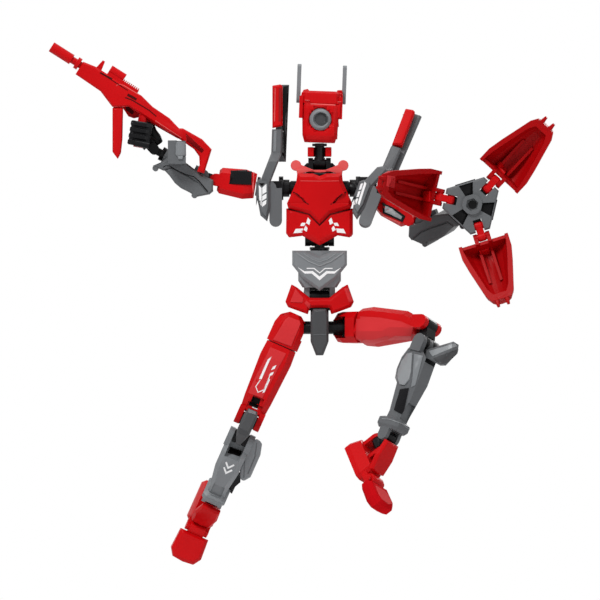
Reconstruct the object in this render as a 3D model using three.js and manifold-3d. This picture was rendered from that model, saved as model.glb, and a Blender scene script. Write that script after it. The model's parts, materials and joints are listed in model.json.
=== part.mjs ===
// A jointed toy robot in a leaping pose, with a toy blaster in its right hand and a three-petal claw as its
// left hand. Millimetres, +Z up, the robot faces -Y, and its right side is at -X.
// The origin is the middle of the flat stand face on the back plate.
import * as THREE from "three";
import { mergeVertices } from "three/addons/utils/BufferGeometryUtils.js";
import Module from "manifold-3d";

const wasm = await Module();
wasm.setup();

// Fits that the whole figure shares
const gap = 0.3;
const overrun = 1;
const tolerance = 0.004;
const barrelSides = 16;
const wideSides = 28;

// Hinges: a barrel turns between two lugs
const neckJoint = { radius: 1.7, width: 3.4, lug: 1.5 };
const waistJoint = { radius: 1.9, width: 5, lug: 1.7 };
const pelvisJoint = { radius: 1.9, width: 5.6, lug: 1.7 };
const shoulderJoint = { radius: 2.2, width: 3.8, lug: 1.4 };
const elbowJoint = { radius: 1.9, width: 3.4, lug: 1.5, spacing: 4.2 };
const wristJoint = { radius: 1.6, width: 2.8, lug: 1.1 };
const hipJoint = { radius: 2.1, width: 6, lug: 1.7 };
const kneeJoint = { radius: 2.2, width: 4.2, lug: 1.8, spacing: 6.4 };
const ankleJoint = { radius: 1.8, width: 3.4, lug: 1.3, spacing: 3.9 };
const toeJoint = { radius: 1.3, width: 4.4, lug: 1.2 };
const clawJoint = { radius: 1.35, width: 2.2, lug: 1.2 };

// Places of the main joints, from the middle of the chest
const chestDepth = 7.6;
const neckHeight = 12.8;
const neckLength = 6.4;
const shoulderHeight = 5.1;
const waistDrop = 10.9;
const waistLength = 3;
const pelvisDrop = 28.1;
const hipDrop = 9.6;
const hipReach = 9.2;
const upperArmLength = 16.8;
const forearmLength = 13.4;
const thighLength = 31.4;
const shinLength = 31;

// Sizes of each piece
const chest = { width: 20.6, shoulderOut: 5.2, upperHeight: 16, upperBottom: -6.4, lowerHeight: 11.2, lowerBottom: -12.4 };
const chestWall = { front: 8, back: 3.5, bevel: 1.1, step: 0.9, panelDepth: 0.8 };
const shoulderReach = chest.width / 2 + chest.shoulderOut;
const chestCore = { width: 11.6, depth: 6.4, top: 9.4, bottom: -8.4, shaft: 2.3, shaftReach: 9 };
const neckSocket = 1.7;
const backPlate = { width: 17.6, height: 20, front: 3.5, bevel: 1.2, pegHole: 1.55, pegHeight: 5.4 };
const collar = { reach: 7.3, height: 12.1, knob: 1.65, knobDepth: 6.4, arm: 2.6, front: 5.6, seat: 9.9 };
const neckPost = { radius: 1.5, disc: 2.3, discHeight: 0.8 };
const neckYoke = { width: 7.4, depth: 3.7, bottom: 2.05, bridge: 1 };
const head = { width: 12.2, baseWidth: 10.8, height: 15.9, depth: 11, baseDepth: 8.6, chamfer: 1.4 };
const headDetail = { brow: 11.8, browStep: 0.6, cheek: 0.6, cheekHeight: 6.8, cheekDepth: 3.4, cheekTop: 14.2 };
const eye = { radius: 3.4, height: 7.1, depth: 1.6, bore: 2.2, dish: 0.7, proud: 0.5 };
const ear = { thickness: 1.25, height: 10.8, depth: 2.7, pivot: 13.4, back: 0.7, hub: 1.35 };
const waistLink = { disc: 3.1, discHeight: 0.8, post: 1.6 };
const abdomen = { width: 16.9, height: 12.4, depth: 8.6, coreWidth: 13.2, coreHeight: 11.4, plate: 2.6, bevel: 0.8 };
const pelvis = { width: 21.2, height: 9.3, top: 3.8, depth: 10.2, wall: 2.4, inner: 15.4, bevel: 0.9 };
const pelvisCore = { width: 13.8, depth: 4.6, top: -1.9, bottom: -4.3, hubWidth: 5.6, hubHeight: 6.2, shaft: 2 };
const groinGuard = { width: 5.6, height: 14.4, thickness: 2.6, bevel: 0.7, seat: 2.7 };
const pelvisNotchShare = 0.22;
const shoulderHub = { shaft: 2.7, flange: 3.7, flangeWidth: 1.4, flangeAt: 3.6 };
const guardPad = { width: 4.4, height: 13.2, top: 2.9, left: -4.1, thickness: 2.1, face: 0.7, bevel: 0.5 };
const guardTongue = { width: 3.9, length: 12, thickness: 1.5 };
const guardArm = { width: 3.3, depth: 2.4, elbow: 8.2, shaftBottom: 10.9, shaftTop: 18.2, shaftAt: 2.2 };
const wingSpar = { width: 3.6, thickness: 1.6, top: 32, at: 4.3 };
const wingBlade = { width: 3.2, thickness: 2.6, height: 13.6, bevel: 0.5, at: 2.5 };
const armRoot = { disc: 3, discHeight: 1, discAt: 3.6, neck: 1.5 };
const upperArm = { width: 9.2, depth: 7.6, tipWidth: 8, tipDepth: 7, length: 11.6, chamfer: 1.6 };
const armPanel = { width: 4.6, length: 7.4, depth: 0.9, offset: 1.6, at: 8.8 };
const forearm = { bulge: 6.8, length: 15, front: 5.2, back: 3.8, bevel: 0.5, step: 0.25, cuff: 2.6, cuffLength: 2.4, pin: 0.9 };
const wristPod = { radius: 1.65, length: 4, across: 2.55, at: 9.1, wall: 2.2, wallHeight: 5.8, foot: 2.3 };
const wrist = { discRadius: 2.2, disc: 1, neck: 1.2, length: 3.3 };
const hand = { width: 8.2, length: 8.8, depth: 6.6, finger: 1.95, fingerGap: 0.25, thumb: 2, fistHole: 1.5, palm: 2, forward: 5.8, drop: 6.4 };
const fingerCount = 4;
const blaster = { length: 49.9, height: 10.6, width: 3.8, bevel: 0.5, gripSpace: 5.25, drop: -0.4, barrelLine: 8.1 };
const blasterBarrel = { radius: 1.1, length: 10.8, muzzle: 1.65, muzzleLength: 7.4, bore: 0.7, ring: 1.9, ringWidth: 1.2 };
const blasterGrip = { radius: 1.45, length: 8.4 };
const blasterTop = { railHeight: 0.9, railWidth: 2.4, railLength: 11, railAt: 8.2, scope: 1.3, scopeLength: 5.2, sight: 1.6, sightAt: 5.2 };
const railRibs = 9;
const magazine = { width: 3.3, depth: 2.6, length: 15.8, bevel: 0.4 };
const clawHub = { radius: 8.7, thickness: 3.4, collar: 3.1, collarHeight: 0.9, hexBore: 2, slot: 2.8, armWidth: 6.2, pivot: 6.8, stem: 3.4, bevel: 0.5, window: 4, windowAt: 5 };
const petalCount = 3;
const petalArcSteps = 8;
const clawLink = { reach: 3.6 };
const petal = { width: 15.8, length: 21.6, depth: 6.6, wall: 1.1, prong: 1.7, start: 1.65, rib: 0.9, lip: 0.8 };
const hipLink = { disc: 2, discWidth: 1.5, neck: 1.5, reach: 3.5 };
const thighCap = { width: 10.2, depth: 9.6, top: 4.6, length: 10.6, chamfer: 1.9, wall: 1.5 };
const thigh = { width: 10.2, depth: 10.8, tipWidth: 8.8, tipDepth: 8, length: 22.4, chamfer: 1.9 };
const thighWindow = { width: 3.6, height: 4.4, drop: 19.4 };
const kneecap = { height: 12.6, reach: 8.4, top: 5, bevel: 0.7, tongue: 1.6, room: 5.8 };
const shin = { width: 7.8, depth: 8.4, tipWidth: 5.6, tipDepth: 6.6, chamfer: 1.5, lean: 0.6 };
const shinCuff = { width: 7.6, depth: 8.8, height: 3.6, chamfer: 1.2 };
const shinRecess = { height: 5.6, depth: 1, width: 3.6 };
const calf = { width: 6.4, length: 13, depth: 5, top: -1.6, bevel: 1.5, seat: 1.2 };
const foot = { width: 8.6, length: 13.8, height: 5.6, sole: 9.4, heel: 5, chamfer: 1.2 };
const instep = { width: 7.6, length: 10.2, thickness: 2, reach: 5.2, rise: 3.6 };
const toe = { width: 10.2, length: 9.4, height: 4.2, chamfer: 1 };

// Joint angles of the leaping pose, in degrees
const pose = {
  neckNod: 0,
  headTurn: 0,
  headLean: 2,
  guardTilt: [0, 19],
  guardHang: [0, 3.4],
  shoulderSwing: [0, 25],
  armRaise: [99, 53.1],
  armTwist: [0, -46.9],
  elbowUpper: [9.5, 25],
  elbowLower: [9.5, 25],
  wristTurn: [0, -84.5],
  wristBend: [20, 60.4],
  fistLean: -38,
  podLean: 28,
  blasterHeading: 32.3,
  instepSlope: -32,
  hipSwing: [0, 92],
  hipSplay: [24, 50],
  thighTwist: [0, 20],
  kneeUpper: [23, 80],
  kneecapSwing: [0, 86],
  kneeLower: [23, 22],
  anklePitch: [42, 40],
  ankleRoll: [8, 0],
  toeBend: [0, 0],
  petalTurn: [12, 30, 40],
  clawTurn: 150.7,
};

// Outlines as shares of a width and a height; most are right halves that mirrored() completes
const upperChestShares = [[0, 0], [0.16, 0.22], [0.47, 0.33], [0.49, 0.42], [0.41, 0.65], [0.35, 0.83], [0.335, 1], [0.1, 1], [0, 0.95]];
const lowerChestShares = [[0, 0], [0.26, 0.26], [0.45, 0.2], [0.5, 0.3], [0.5, 1], [0, 1]];
const chestPanelShares = [[0.42, 0.64], [0.24, 0.52], [0.19, 0.42], [0.46, 0.42]];
const backShares = [[0, 0], [0.3, 0.04], [0.42, 0.3], [0.5, 0.62], [0.38, 0.96], [0.3, 1], [0, 1]];
const abdomenShares = [[0, 0], [0.3, 0.3], [0.5, 0.64], [0.5, 1], [0.24, 1], [0, 0.86]];
const pelvisShares = [[0, pelvisNotchShare], [0.145, pelvisNotchShare], [0.17, 0], [0.24, 0.06], [0.46, 0.24], [0.5, 0.42], [0.41, 1], [0.33, 0.9], [0.14, 0.55], [0, 0.55]];
const groinShares = [[0, 0], [0.2, 0], [0.5, 0.3], [0.5, 0.86], [0.36, 1], [0, 1]];
const padShares = [[0.1, 0.5], [0.3, 0.14], [0.78, 0], [1, 0.3], [1, 0.9], [0.78, 1], [0.28, 1], [0, 0.92], [0, 0.36]];
const bladeShares = [[-0.5, 0], [0.5, 0.06], [0.5, 0.96], [0.3, 1], [-0.5, 0.97]];
const forearmBlockShares = [[0.68, -1], [0.41, -0.9], [0.01, -0.8], [-0.14, -0.41], [0, 0], [-0.03, 0.24], [0.42, 0.34], [0.64, 0.3], [0.4, 0.02], [0.35, -0.22], [0.35, -0.64], [0.65, -0.76]];
const forearmPlateShares = [[0.62, 0.3], [1, 0.09], [0.97, -0.08], [0.98, -0.28], [0.91, -0.43], [0.72, -0.61], [0.62, -0.75], [0.33, -0.63], [0.33, -0.22], [0.38, 0.02]];
const forearmPinShares = [[0.73, -0.93], [0.98, 0.04]];
const magwellShares = [[0.3, 0.27], [0.357, 0.44]];
const magwellMiddleShare = (magwellShares[0][0] + magwellShares[1][0]) / 2;
const blasterShares = [[0, 0.5], [0.186, 0.47], ...magwellShares, [0.385, 0.54], [0.56, 0.52], [0.77, 0.52], [0.866, 0.5], [0.918, 0.4], [0.948, 0.2], [0.956, 0], [1, 0.06], [0.96, 0.77], [0.878, 0.87], [0.741, 0.84], [0.72, 0.78], [0.637, 0.88], [0.511, 0.9], [0.415, 1], [0.082, 1], [0, 0.93]];
const stockWindowShares = [[0.772, 0.76], [0.922, 0.64], [0.922, 0.52], [0.802, 0.58]];
const fingerShares = [[0, 0], [0.34, 0], [0.5, 0.2], [0.5, 0.74], [0.36, 1], [0, 1]];
const sightShares = [[-0.6, -1], [0.6, -1], [0.24, 1], [-0.24, 1]];
const hubWindowShares = [[-0.5, -0.3], [0.4, -0.56], [0.4, 0.56], [-0.5, 0.3]];
const magazineShares = [[-0.5, 0], [0.5, 0], [0.44, -0.6], [0.3, -0.88], [0, -1], [-0.5, -0.86]];
const clawArmShares = [[0, 0.5], [0.62, 0.5], [1, 0.36], [1, -0.36], [0.62, -0.5], [0, -0.5]];
const kneecapShares = [[0.31, 1], [0.62, 0.97], [1, 0.62], [0.94, 0.46], [0.5, 0.06], [0.31, 0]];
const kneecapFrontShares = [[0, 0], [0.14, 0.02], [0.5, 0.5], [0.5, 0.86], [0.36, 1], [0, 1]];
const calfShares = [[0, 0], [0.5, 0.02], [0.84, 0.14], [1, 0.36], [0.98, 0.66], [0.72, 0.92], [0.4, 1], [0, 1]];
const instepShares = [[0, -0.06], [0.42, 0], [0.5, 0.5], [0.4, 1], [0, 1]];
const toeShares = [[0, 0], [0.34, 0.04], [0.5, 0.3], [0.46, 1], [0, 1]];
const petalShares = [[0, 1, 0.9], [0.2, 1, 1], [0.42, 0.88, 1], [0.72, 0.68, 0.82], [0.9, 0.56, 0.62], [1, 0.4, 0.4]];

// Materials
const redPlastic = new THREE.MeshStandardMaterial({ color: 0xc40408, roughness: 0.38, metalness: 0 });
const greyPlastic = new THREE.MeshStandardMaterial({ color: 0x54575b, roughness: 0.5, metalness: 0 });
const blackPlastic = new THREE.MeshStandardMaterial({ color: 0x141415, roughness: 0.32, metalness: 0 });

// Shape helpers

function degrees(angle) {
  return THREE.MathUtils.degToRad(angle);
}

// Turns a table of shares into points: across times the width, up times the height.
function outline(shares, width, height, x = 0, z = 0) {
  return shares.map(([across, up]) => [x + across * width, z + up * height]);
}

// Completes a right-hand half outline with its mirror image.
function mirrored(shares) {
  const left = shares.filter(([across]) => across > 0).map(([across, up]) => [-across, up]);
  return [...shares, ...left.reverse()];
}

// Turns a flat-laid slab so that its thickness lies along the named axis.
const slabTurns = {
  x: new THREE.Matrix4().makeBasis(new THREE.Vector3(0, 1, 0), new THREE.Vector3(0, 0, 1), new THREE.Vector3(1, 0, 0)),
  y: new THREE.Matrix4().makeBasis(new THREE.Vector3(1, 0, 0), new THREE.Vector3(0, 0, 1), new THREE.Vector3(0, -1, 0)),
  z: new THREE.Matrix4(),
};

// An outline with a bevelled edge, from one depth to another along an axis.
function slab(axis, points, from, to, bevel = 0) {
  const shape = new THREE.Shape(points.map(([a, b]) => new THREE.Vector2(a, b)));
  const geometry = new THREE.ExtrudeGeometry(shape, {
    depth: to - from - 2 * bevel,
    bevelEnabled: bevel > 0,
    bevelThickness: bevel,
    bevelSize: bevel,
    bevelOffset: -bevel,
    bevelSegments: 1,
  });
  geometry.translate(0, 0, (axis === "y" ? -to : from) + bevel);
  return geometry.applyMatrix4(slabTurns[axis]);
}

// A plain box between two corners.
function block(x0, x1, y0, y1, z0, z1) {
  return new THREE.BoxGeometry(x1 - x0, y1 - y0, z1 - z0).translate((x0 + x1) / 2, (y0 + y1) / 2, (z0 + z1) / 2);
}

// A round rod along an axis, from one place to another.
function rod(axis, radius, from, to, sides = barrelSides, endRadius = radius) {
  const geometry = new THREE.CylinderGeometry(endRadius, radius, to - from, sides);
  if (axis === "x") geometry.rotateZ(-Math.PI / 2);
  if (axis === "z") geometry.rotateX(Math.PI / 2);
  const middle = (from + to) / 2;
  return geometry.translate(axis === "x" ? middle : 0, axis === "y" ? middle : 0, axis === "z" ? middle : 0);
}

function ball(radius) {
  return new THREE.SphereGeometry(radius, barrelSides, barrelSides / 2);
}

// An eight-sided section with cut corners, at a height.
function section(width, depth, chamfer, z, x = 0, y = 0) {
  const w = width / 2;
  const d = depth / 2;
  const c = Math.min(chamfer, w, d);
  const corners = [[w, -d + c], [w, d - c], [w - c, d], [-w + c, d], [-w, d - c], [-w, -d + c], [-w + c, -d], [w - c, -d]];
  return corners.map(([a, b]) => new THREE.Vector3(x + a, y + b, z));
}

// A closed skin through sections of equal count, the first one lowest.
function loft(sections) {
  const count = sections[0].length;
  const points = sections.flat();
  const index = [];
  for (let ring = 0; ring + 1 < sections.length; ring += 1) {
    for (let i = 0; i < count; i += 1) {
      const next = (i + 1) % count;
      const a = ring * count + i;
      const b = ring * count + next;
      index.push(a, b, b + count, a, b + count, a + count);
    }
  }
  const top = (sections.length - 1) * count;
  for (let i = 1; i + 1 < count; i += 1) {
    index.push(0, i + 1, i);
    index.push(top, top + i, top + i + 1);
  }
  const geometry = new THREE.BufferGeometry().setFromPoints(points);
  geometry.setIndex(index);
  return geometry;
}

function solidOf(geometry) {
  const bare = geometry.clone();
  bare.deleteAttribute("normal");
  bare.deleteAttribute("uv");
  const merged = mergeVertices(bare);
  return new wasm.Manifold(
    new wasm.Mesh({
      numProp: 3,
      vertProperties: new Float32Array(merged.attributes.position.array),
      triVerts: new Uint32Array(merged.index.array),
    }),
  );
}

function geometryOf(solid) {
  const made = solid.asOriginal().simplify(tolerance).getMesh();
  const geometry = new THREE.BufferGeometry();
  geometry.setAttribute("position", new THREE.BufferAttribute(made.vertProperties, 3));
  geometry.setIndex(new THREE.BufferAttribute(made.triVerts, 1));
  return geometry;
}

function joined(...geometries) {
  return geometryOf(geometries.map(solidOf).reduce((all, next) => all.add(next)));
}

function common(first, second) {
  return geometryOf(solidOf(first).intersect(solidOf(second)));
}

function carved(base, ...cutters) {
  return geometryOf(cutters.map(solidOf).reduce((left, cutter) => left.subtract(cutter), solidOf(base)));
}

// The two lugs that hold a barrel, joined to a foot that starts beside them.
function lugPair(axis, joint, radius, reach, towards = "z") {
  const inner = joint.width / 2 + gap;
  const outer = inner + joint.lug;
  const pair = [];
  for (const hand of [-1, 1]) {
    const from = hand < 0 ? -outer : inner;
    const to = hand < 0 ? -inner : outer;
    pair.push(rod(axis, radius, from, to));
    const low = Math.min(0, reach);
    const high = Math.max(0, reach);
    if (towards === "z" && axis === "x") pair.push(block(from, to, -radius, radius, low, high));
    if (towards === "z" && axis === "y") pair.push(block(-radius, radius, from, to, low, high));
    if (towards === "x" && axis === "y") pair.push(block(low, high, from, to, -radius, radius));
  }
  return pair;
}

function barrel(axis, joint) {
  return rod(axis, joint.radius, -joint.width / 2, joint.width / 2);
}

// Scene helpers

function piece(parent, name, geometry, material) {
  const flat = geometry.index ? geometry.toNonIndexed() : geometry;
  flat.computeVertexNormals();
  const mesh = new THREE.Mesh(flat, material);
  mesh.name = name;
  parent.add(mesh);
  return mesh;
}

// A group that turns about one of its own axes through its origin.
function hinge(parent, name, place, axis, angle) {
  const group = new THREE.Group();
  group.name = name;
  group.position.set(...place);
  group.rotation[axis] = degrees(angle);
  group.userData.axis = axis;
  parent.add(group);
  return group;
}

function placed(parent, place, turn = [0, 0, 0]) {
  const group = new THREE.Group();
  group.position.set(...place);
  group.rotation.set(...turn.map(degrees));
  parent.add(group);
  return group;
}

// Torso

function chestPlate() {
  const edge = chestWall.front - chestWall.step;
  const upper = outline(mirrored(upperChestShares), chest.width, chest.upperHeight, 0, chest.upperBottom);
  const lower = outline(mirrored(lowerChestShares), chest.width, chest.lowerHeight, 0, chest.lowerBottom);
  const shield = slab("y", upper, -chestWall.front, -chestWall.back, chestWall.bevel);
  const belly = slab("y", lower, -edge, -chestWall.back, chestWall.bevel);
  const panels = [-1, 1].map((hand) => {
    const shares = chestPanelShares.map(([across, up]) => [hand * across, up]);
    const points = outline(hand > 0 ? shares : [...shares].reverse(), chest.width, chest.upperHeight, 0, chest.upperBottom);
    return slab("y", points, -chestWall.front - overrun, -chestWall.front + chestWall.panelDepth);
  });
  return carved(joined(shield, belly), ...panels);
}

function chestFrame() {
  const { width, depth, top, bottom, shaft, shaftReach } = chestCore;
  const core = loft([
    section(width * 0.8, depth, chestWall.bevel, bottom),
    section(width, depth, chestWall.bevel, 0),
    section(width, depth, chestWall.bevel, top),
  ]);
  const neckLugs = lugPair("x", neckJoint, neckSocket, top - neckHeight - overrun).map((lug) => lug.translate(0, 0, neckHeight));
  const waistLugs = lugPair("x", waistJoint, waistJoint.radius, waistDrop + bottom + overrun).map((lug) =>
    lug.translate(0, 0, -waistDrop),
  );
  const axle = rod("x", shaft, -shaftReach, shaftReach).translate(0, 0, shoulderHeight);
  return joined(core, axle, ...neckLugs, ...waistLugs);
}

function backShell() {
  const points = outline(mirrored(backShares), backPlate.width, backPlate.height, 0, -backPlate.height / 2);
  const plate = slab("y", points, backPlate.front, chestDepth, backPlate.bevel);
  const peg = rod("y", backPlate.pegHole, backPlate.front + overrun, chestDepth + overrun).translate(0, 0, backPlate.pegHeight);
  return carved(plate, peg);
}

function collarBar() {
  const { reach, height, knob, knobDepth, arm, front, seat } = collar;
  const knobs = [-1, 1].map((hand) => rod("y", knob, -front, knobDepth - front).translate(hand * reach, 0, height));
  const points = [
    [-reach, height - knob],
    [0, seat],
    [reach, height - knob],
    [reach, height + knob / 2],
    [chest.width * 0.09, seat + knob / 2],
    [-chest.width * 0.09, seat + knob / 2],
    [-reach, height + knob / 2],
  ];
  return joined(...knobs, slab("y", points, -front, arm - front));
}

// Neck and head

function neckPostShape() {
  const discTop = neckLength - gap;
  const post = rod("z", neckPost.radius, 0, discTop);
  const disc = rod("z", neckPost.disc, discTop - neckPost.discHeight, discTop);
  return joined(barrel("x", neckJoint), post, disc);
}

function neckYokeShape() {
  const { width, depth, bottom, bridge } = neckYoke;
  const inner = neckPost.radius + gap;
  const top = neckLength - gap - neckPost.discHeight - gap;
  const knuckles = [-1, 1].map((hand) => {
    const from = hand < 0 ? -width / 2 : inner;
    const to = hand < 0 ? -inner : width / 2;
    return block(from, to, -depth / 2, depth / 2 + bridge, bottom, top);
  });
  const back = block(-width / 2, width / 2, depth / 2, depth / 2 + bridge, bottom, top);
  return joined(...knuckles, back);
}

function headShell() {
  const { width, baseWidth, height, depth, baseDepth, chamfer } = head;
  const { brow, browStep, cheek, cheekHeight, cheekDepth, cheekTop } = headDetail;
  const skull = loft([
    section(baseWidth - chamfer, baseDepth, chamfer, 0),
    section(baseWidth, depth, chamfer, height * 0.14),
    section(width - browStep, depth, chamfer, brow - browStep),
    section(width - browStep, depth - 2 * browStep, chamfer, brow),
    section(width, depth, chamfer, brow + browStep / 2),
    section(width, depth - browStep, chamfer, height - chamfer / 2),
    section(width - chamfer, depth - 2 * chamfer, chamfer, height),
  ]);
  const cheeks = [-1, 1].map((hand) => {
    const inner = hand * (width / 2 - cheek);
    const outer = hand * (width / 2 + cheek);
    const [from, to] = hand < 0 ? [outer, inner] : [inner, outer];
    return block(from, to, -depth / 2 + browStep, cheekDepth - depth / 2 + browStep, cheekTop - cheekHeight, cheekTop);
  });
  const socket = rod("y", eye.radius + gap, -depth / 2 - overrun, eye.depth - depth / 2, wideSides).translate(0, 0, eye.height);
  return carved(joined(skull, ...cheeks), socket);
}

function eyeRing() {
  const { radius, depth, bore, dish, proud } = eye;
  const profile = [[0, 0], [radius, 0], [radius, depth + proud - dish], [radius - dish, depth + proud], [bore, depth + proud], [bore - dish / 2, depth - dish], [0, depth - dish]];
  const ring = new THREE.LatheGeometry(profile.map(([r, z]) => new THREE.Vector2(r, z)), wideSides);
  return joined(ring.rotateX(Math.PI).translate(0, eye.depth - gap, 0));
}

function earBlade() {
  const { thickness, height, depth, hub } = ear;
  const points = [[-depth / 2, 0], [depth / 2, 0], [depth * 0.3, height * 0.9], [-depth * 0.1, height], [-depth * 0.3, height * 0.94]];
  return joined(rod("x", hub, -thickness / 2, thickness / 2), slab("x", points, -thickness / 2, thickness / 2));
}

// Waist, abdomen and pelvis

function waistLinkShape() {
  const discTop = -waistLength + waistLink.discHeight;
  const post = rod("z", waistLink.post, -waistLength, 0);
  const disc = rod("z", waistLink.disc, -waistLength, discTop);
  return joined(barrel("x", waistJoint), post, disc);
}

function abdomenShell() {
  const { width, height, depth, coreWidth, coreHeight, plate, bevel } = abdomen;
  const points = outline(mirrored(abdomenShares), width, height, 0, -height);
  const front = slab("y", points, -depth / 2 - plate / 2, plate - depth / 2, bevel);
  const core = loft([
    section(coreWidth * 0.8, depth * 0.8, bevel, -coreHeight),
    section(coreWidth, depth * 0.9, bevel, -height * 0.75),
    section(coreWidth, depth, bevel, -height * 0.3),
    section(width * 0.92, depth, bevel, 0),
  ]);
  const pivot = pelvisDrop - waistDrop - waistLength;
  const lugs = lugPair("x", pelvisJoint, pelvisJoint.radius, pivot - coreHeight + overrun).map((lug) => lug.translate(0, 0, -pivot));
  return joined(front, core, ...lugs);
}

function pelvisFrame() {
  const { width, depth, top, bottom, hubWidth, hubHeight, shaft } = pelvisCore;
  const low = pelvis.top - pelvis.height - gap;
  const stem = block(-pelvisJoint.width / 2, pelvisJoint.width / 2, -depth / 2, depth / 2, top - overrun, 0);
  const core = block(-width / 2, width / 2, -depth / 2, depth / 2, bottom, top - gap);
  const hub = loft([
    section(hubWidth * 0.6, depth * 0.8, pelvis.bevel, low - hubHeight),
    section(hubWidth, depth, pelvis.bevel, low - hubHeight * 0.6),
    section(hubWidth, depth, pelvis.bevel, bottom + overrun),
  ]);
  const reach = hipReach - hipLink.reach - gap;
  const axle = rod("x", shaft, -reach, reach).translate(0, 0, -hipDrop);
  return joined(barrel("x", pelvisJoint), stem, core, hub, axle);
}

function pelvisArmor() {
  const { width, height, top, depth, wall, inner, bevel } = pelvis;
  const points = outline(mirrored(pelvisShares), width, height, 0, top - height);
  const belt = slab("y", points, -depth / 2, depth / 2, bevel);
  const half = depth / 2 - wall;
  return carved(belt, block(-inner / 2, inner / 2, -half, half, -height - overrun, height));
}

function groinGuardShape() {
  const { width, height, thickness, bevel, seat } = groinGuard;
  const top = pelvis.top - pelvis.height * (1 - pelvisNotchShare) - gap;
  const points = outline(mirrored(groinShares), width, height, 0, top - height);
  return slab("y", points, -seat - gap - thickness, -seat - gap, bevel);
}

// Shoulders and arms; side is -1 for the robot's right and 1 for its left

function shoulderHubShape(side) {
  const { shaft, flange, flangeWidth, flangeAt } = shoulderHub;
  const inner = chestCore.shaftReach + gap - shoulderReach;
  const root = rod("x", shaft, inner, -flangeAt + flangeWidth / 2);
  const disc = rod("x", flange, -flangeAt - flangeWidth / 2, -flangeAt + flangeWidth / 2);
  const lugs = lugPair("y", shoulderJoint, shoulderJoint.radius, -flangeAt, "x");
  const hub = joined(root, disc, ...lugs);
  return side < 0 ? hub.rotateZ(Math.PI) : hub;
}

function shoulderGuardShape() {
  const face = shoulderJoint.width / 2 + gap + shoulderJoint.lug + gap;
  const { width, height, top, left, thickness, face: raise, bevel } = guardPad;
  const points = outline(padShares, width, height, left, top - height);
  const pad = slab("y", [...points].reverse(), -face - thickness, -face, bevel);
  const inset = outline(padShares, width - raise * 2, height - raise * 3, left + raise, top - height + raise * 2);
  const rim = slab("y", [...inset].reverse(), -face - thickness - raise, -face - thickness / 2);
  const eyePlate = rod("y", shoulderJoint.radius, -face - guardTongue.thickness, -face);
  const tongueRadius = guardTongue.width / 2;
  const tongueAt = tongueRadius;
  const tongueEnd = rod("y", tongueRadius, -face - guardTongue.thickness, -face).translate(tongueAt, 0, tongueRadius - guardTongue.length);
  const tongue = block(0, guardTongue.width, -face - guardTongue.thickness, -face, tongueRadius - guardTongue.length, 0);
  const arm = loft([
    section(guardArm.width, thickness, bevel, top - height * 0.2, left + width / 2, -face - thickness / 2),
    section(guardArm.width, guardArm.depth, bevel, guardArm.elbow, guardArm.shaftAt - 1, -face - thickness / 2),
    section(guardArm.width, guardArm.depth, bevel, guardArm.shaftBottom, guardArm.shaftAt, -guardArm.depth / 2),
    section(guardArm.width, guardArm.depth, bevel, guardArm.shaftTop, guardArm.shaftAt + bevel / 2, -guardArm.depth / 2),
  ]);
  const spar = loft([
    section(wingSpar.width, wingSpar.thickness, bevel, guardArm.elbow, wingSpar.at - 1, wingSpar.thickness / 2),
    section(wingSpar.width, wingSpar.thickness, bevel, wingSpar.top, wingSpar.at, wingSpar.thickness / 2),
  ]);
  return joined(pad, rim, eyePlate, tongueEnd, tongue, arm, spar);
}

function wingBladeShape() {
  const { width, thickness, height, bevel, at } = wingBlade;
  const points = outline(bladeShares, width, height, at, guardArm.shaftTop + gap);
  return slab("y", points, -gap - thickness, -gap, bevel);
}

function armRootShape() {
  const { disc, discHeight, discAt, neck } = armRoot;
  const post = rod("z", neck, -discAt, 0);
  const plate = rod("z", disc, -discAt - discHeight / 2, discHeight / 2 - discAt);
  return joined(barrel("y", shoulderJoint), post, plate);
}

function upperArmShell(side) {
  const { width, depth, tipWidth, tipDepth, length, chamfer } = upperArm;
  const start = -armRoot.discAt - armRoot.discHeight / 2 - gap;
  const lugFrom = -upperArmLength;
  const shell = loft([
    section(tipWidth - chamfer, tipDepth - chamfer, chamfer, start - length),
    section(tipWidth, tipDepth, chamfer, start - length + chamfer / 2),
    section(width, depth, chamfer, start - length * 0.3),
    section(width - chamfer, depth - chamfer, chamfer, start),
  ]);
  const lugs = lugPair("y", elbowJoint, elbowJoint.radius, start - length + overrun - lugFrom).map((lug) => lug.translate(0, 0, lugFrom));
  const mid = -armPanel.at;
  const x = side * armPanel.offset;
  const face = -depth / 2;
  const panel = block(x - armPanel.width / 2, x + armPanel.width / 2, face - overrun, face + armPanel.depth, mid - armPanel.length / 2, mid + armPanel.length / 2);
  const back = block(x - armPanel.width / 2, x + armPanel.width / 2, -face - armPanel.depth, -face + overrun, mid - armPanel.length / 2, mid + armPanel.length / 2);
  const knuckle = rod("y", elbowJoint.radius + gap, -elbowJoint.width / 2 - gap, elbowJoint.width / 2 + gap).translate(0, 0, lugFrom);
  return carved(joined(shell, ...lugs), panel, back, knuckle);
}

// Two barrels on one web, for the double elbows and knees.
function doubleLink(axis, joint) {
  const web = joint.radius * 0.7;
  const half = joint.width / 2;
  const bridge = axis === "x" ? block(-half, half, -web, web, -joint.spacing, 0) : block(-web, web, -half, half, -joint.spacing, 0);
  return joined(barrel(axis, joint), barrel(axis, joint).translate(0, 0, -joint.spacing), bridge);
}

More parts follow.
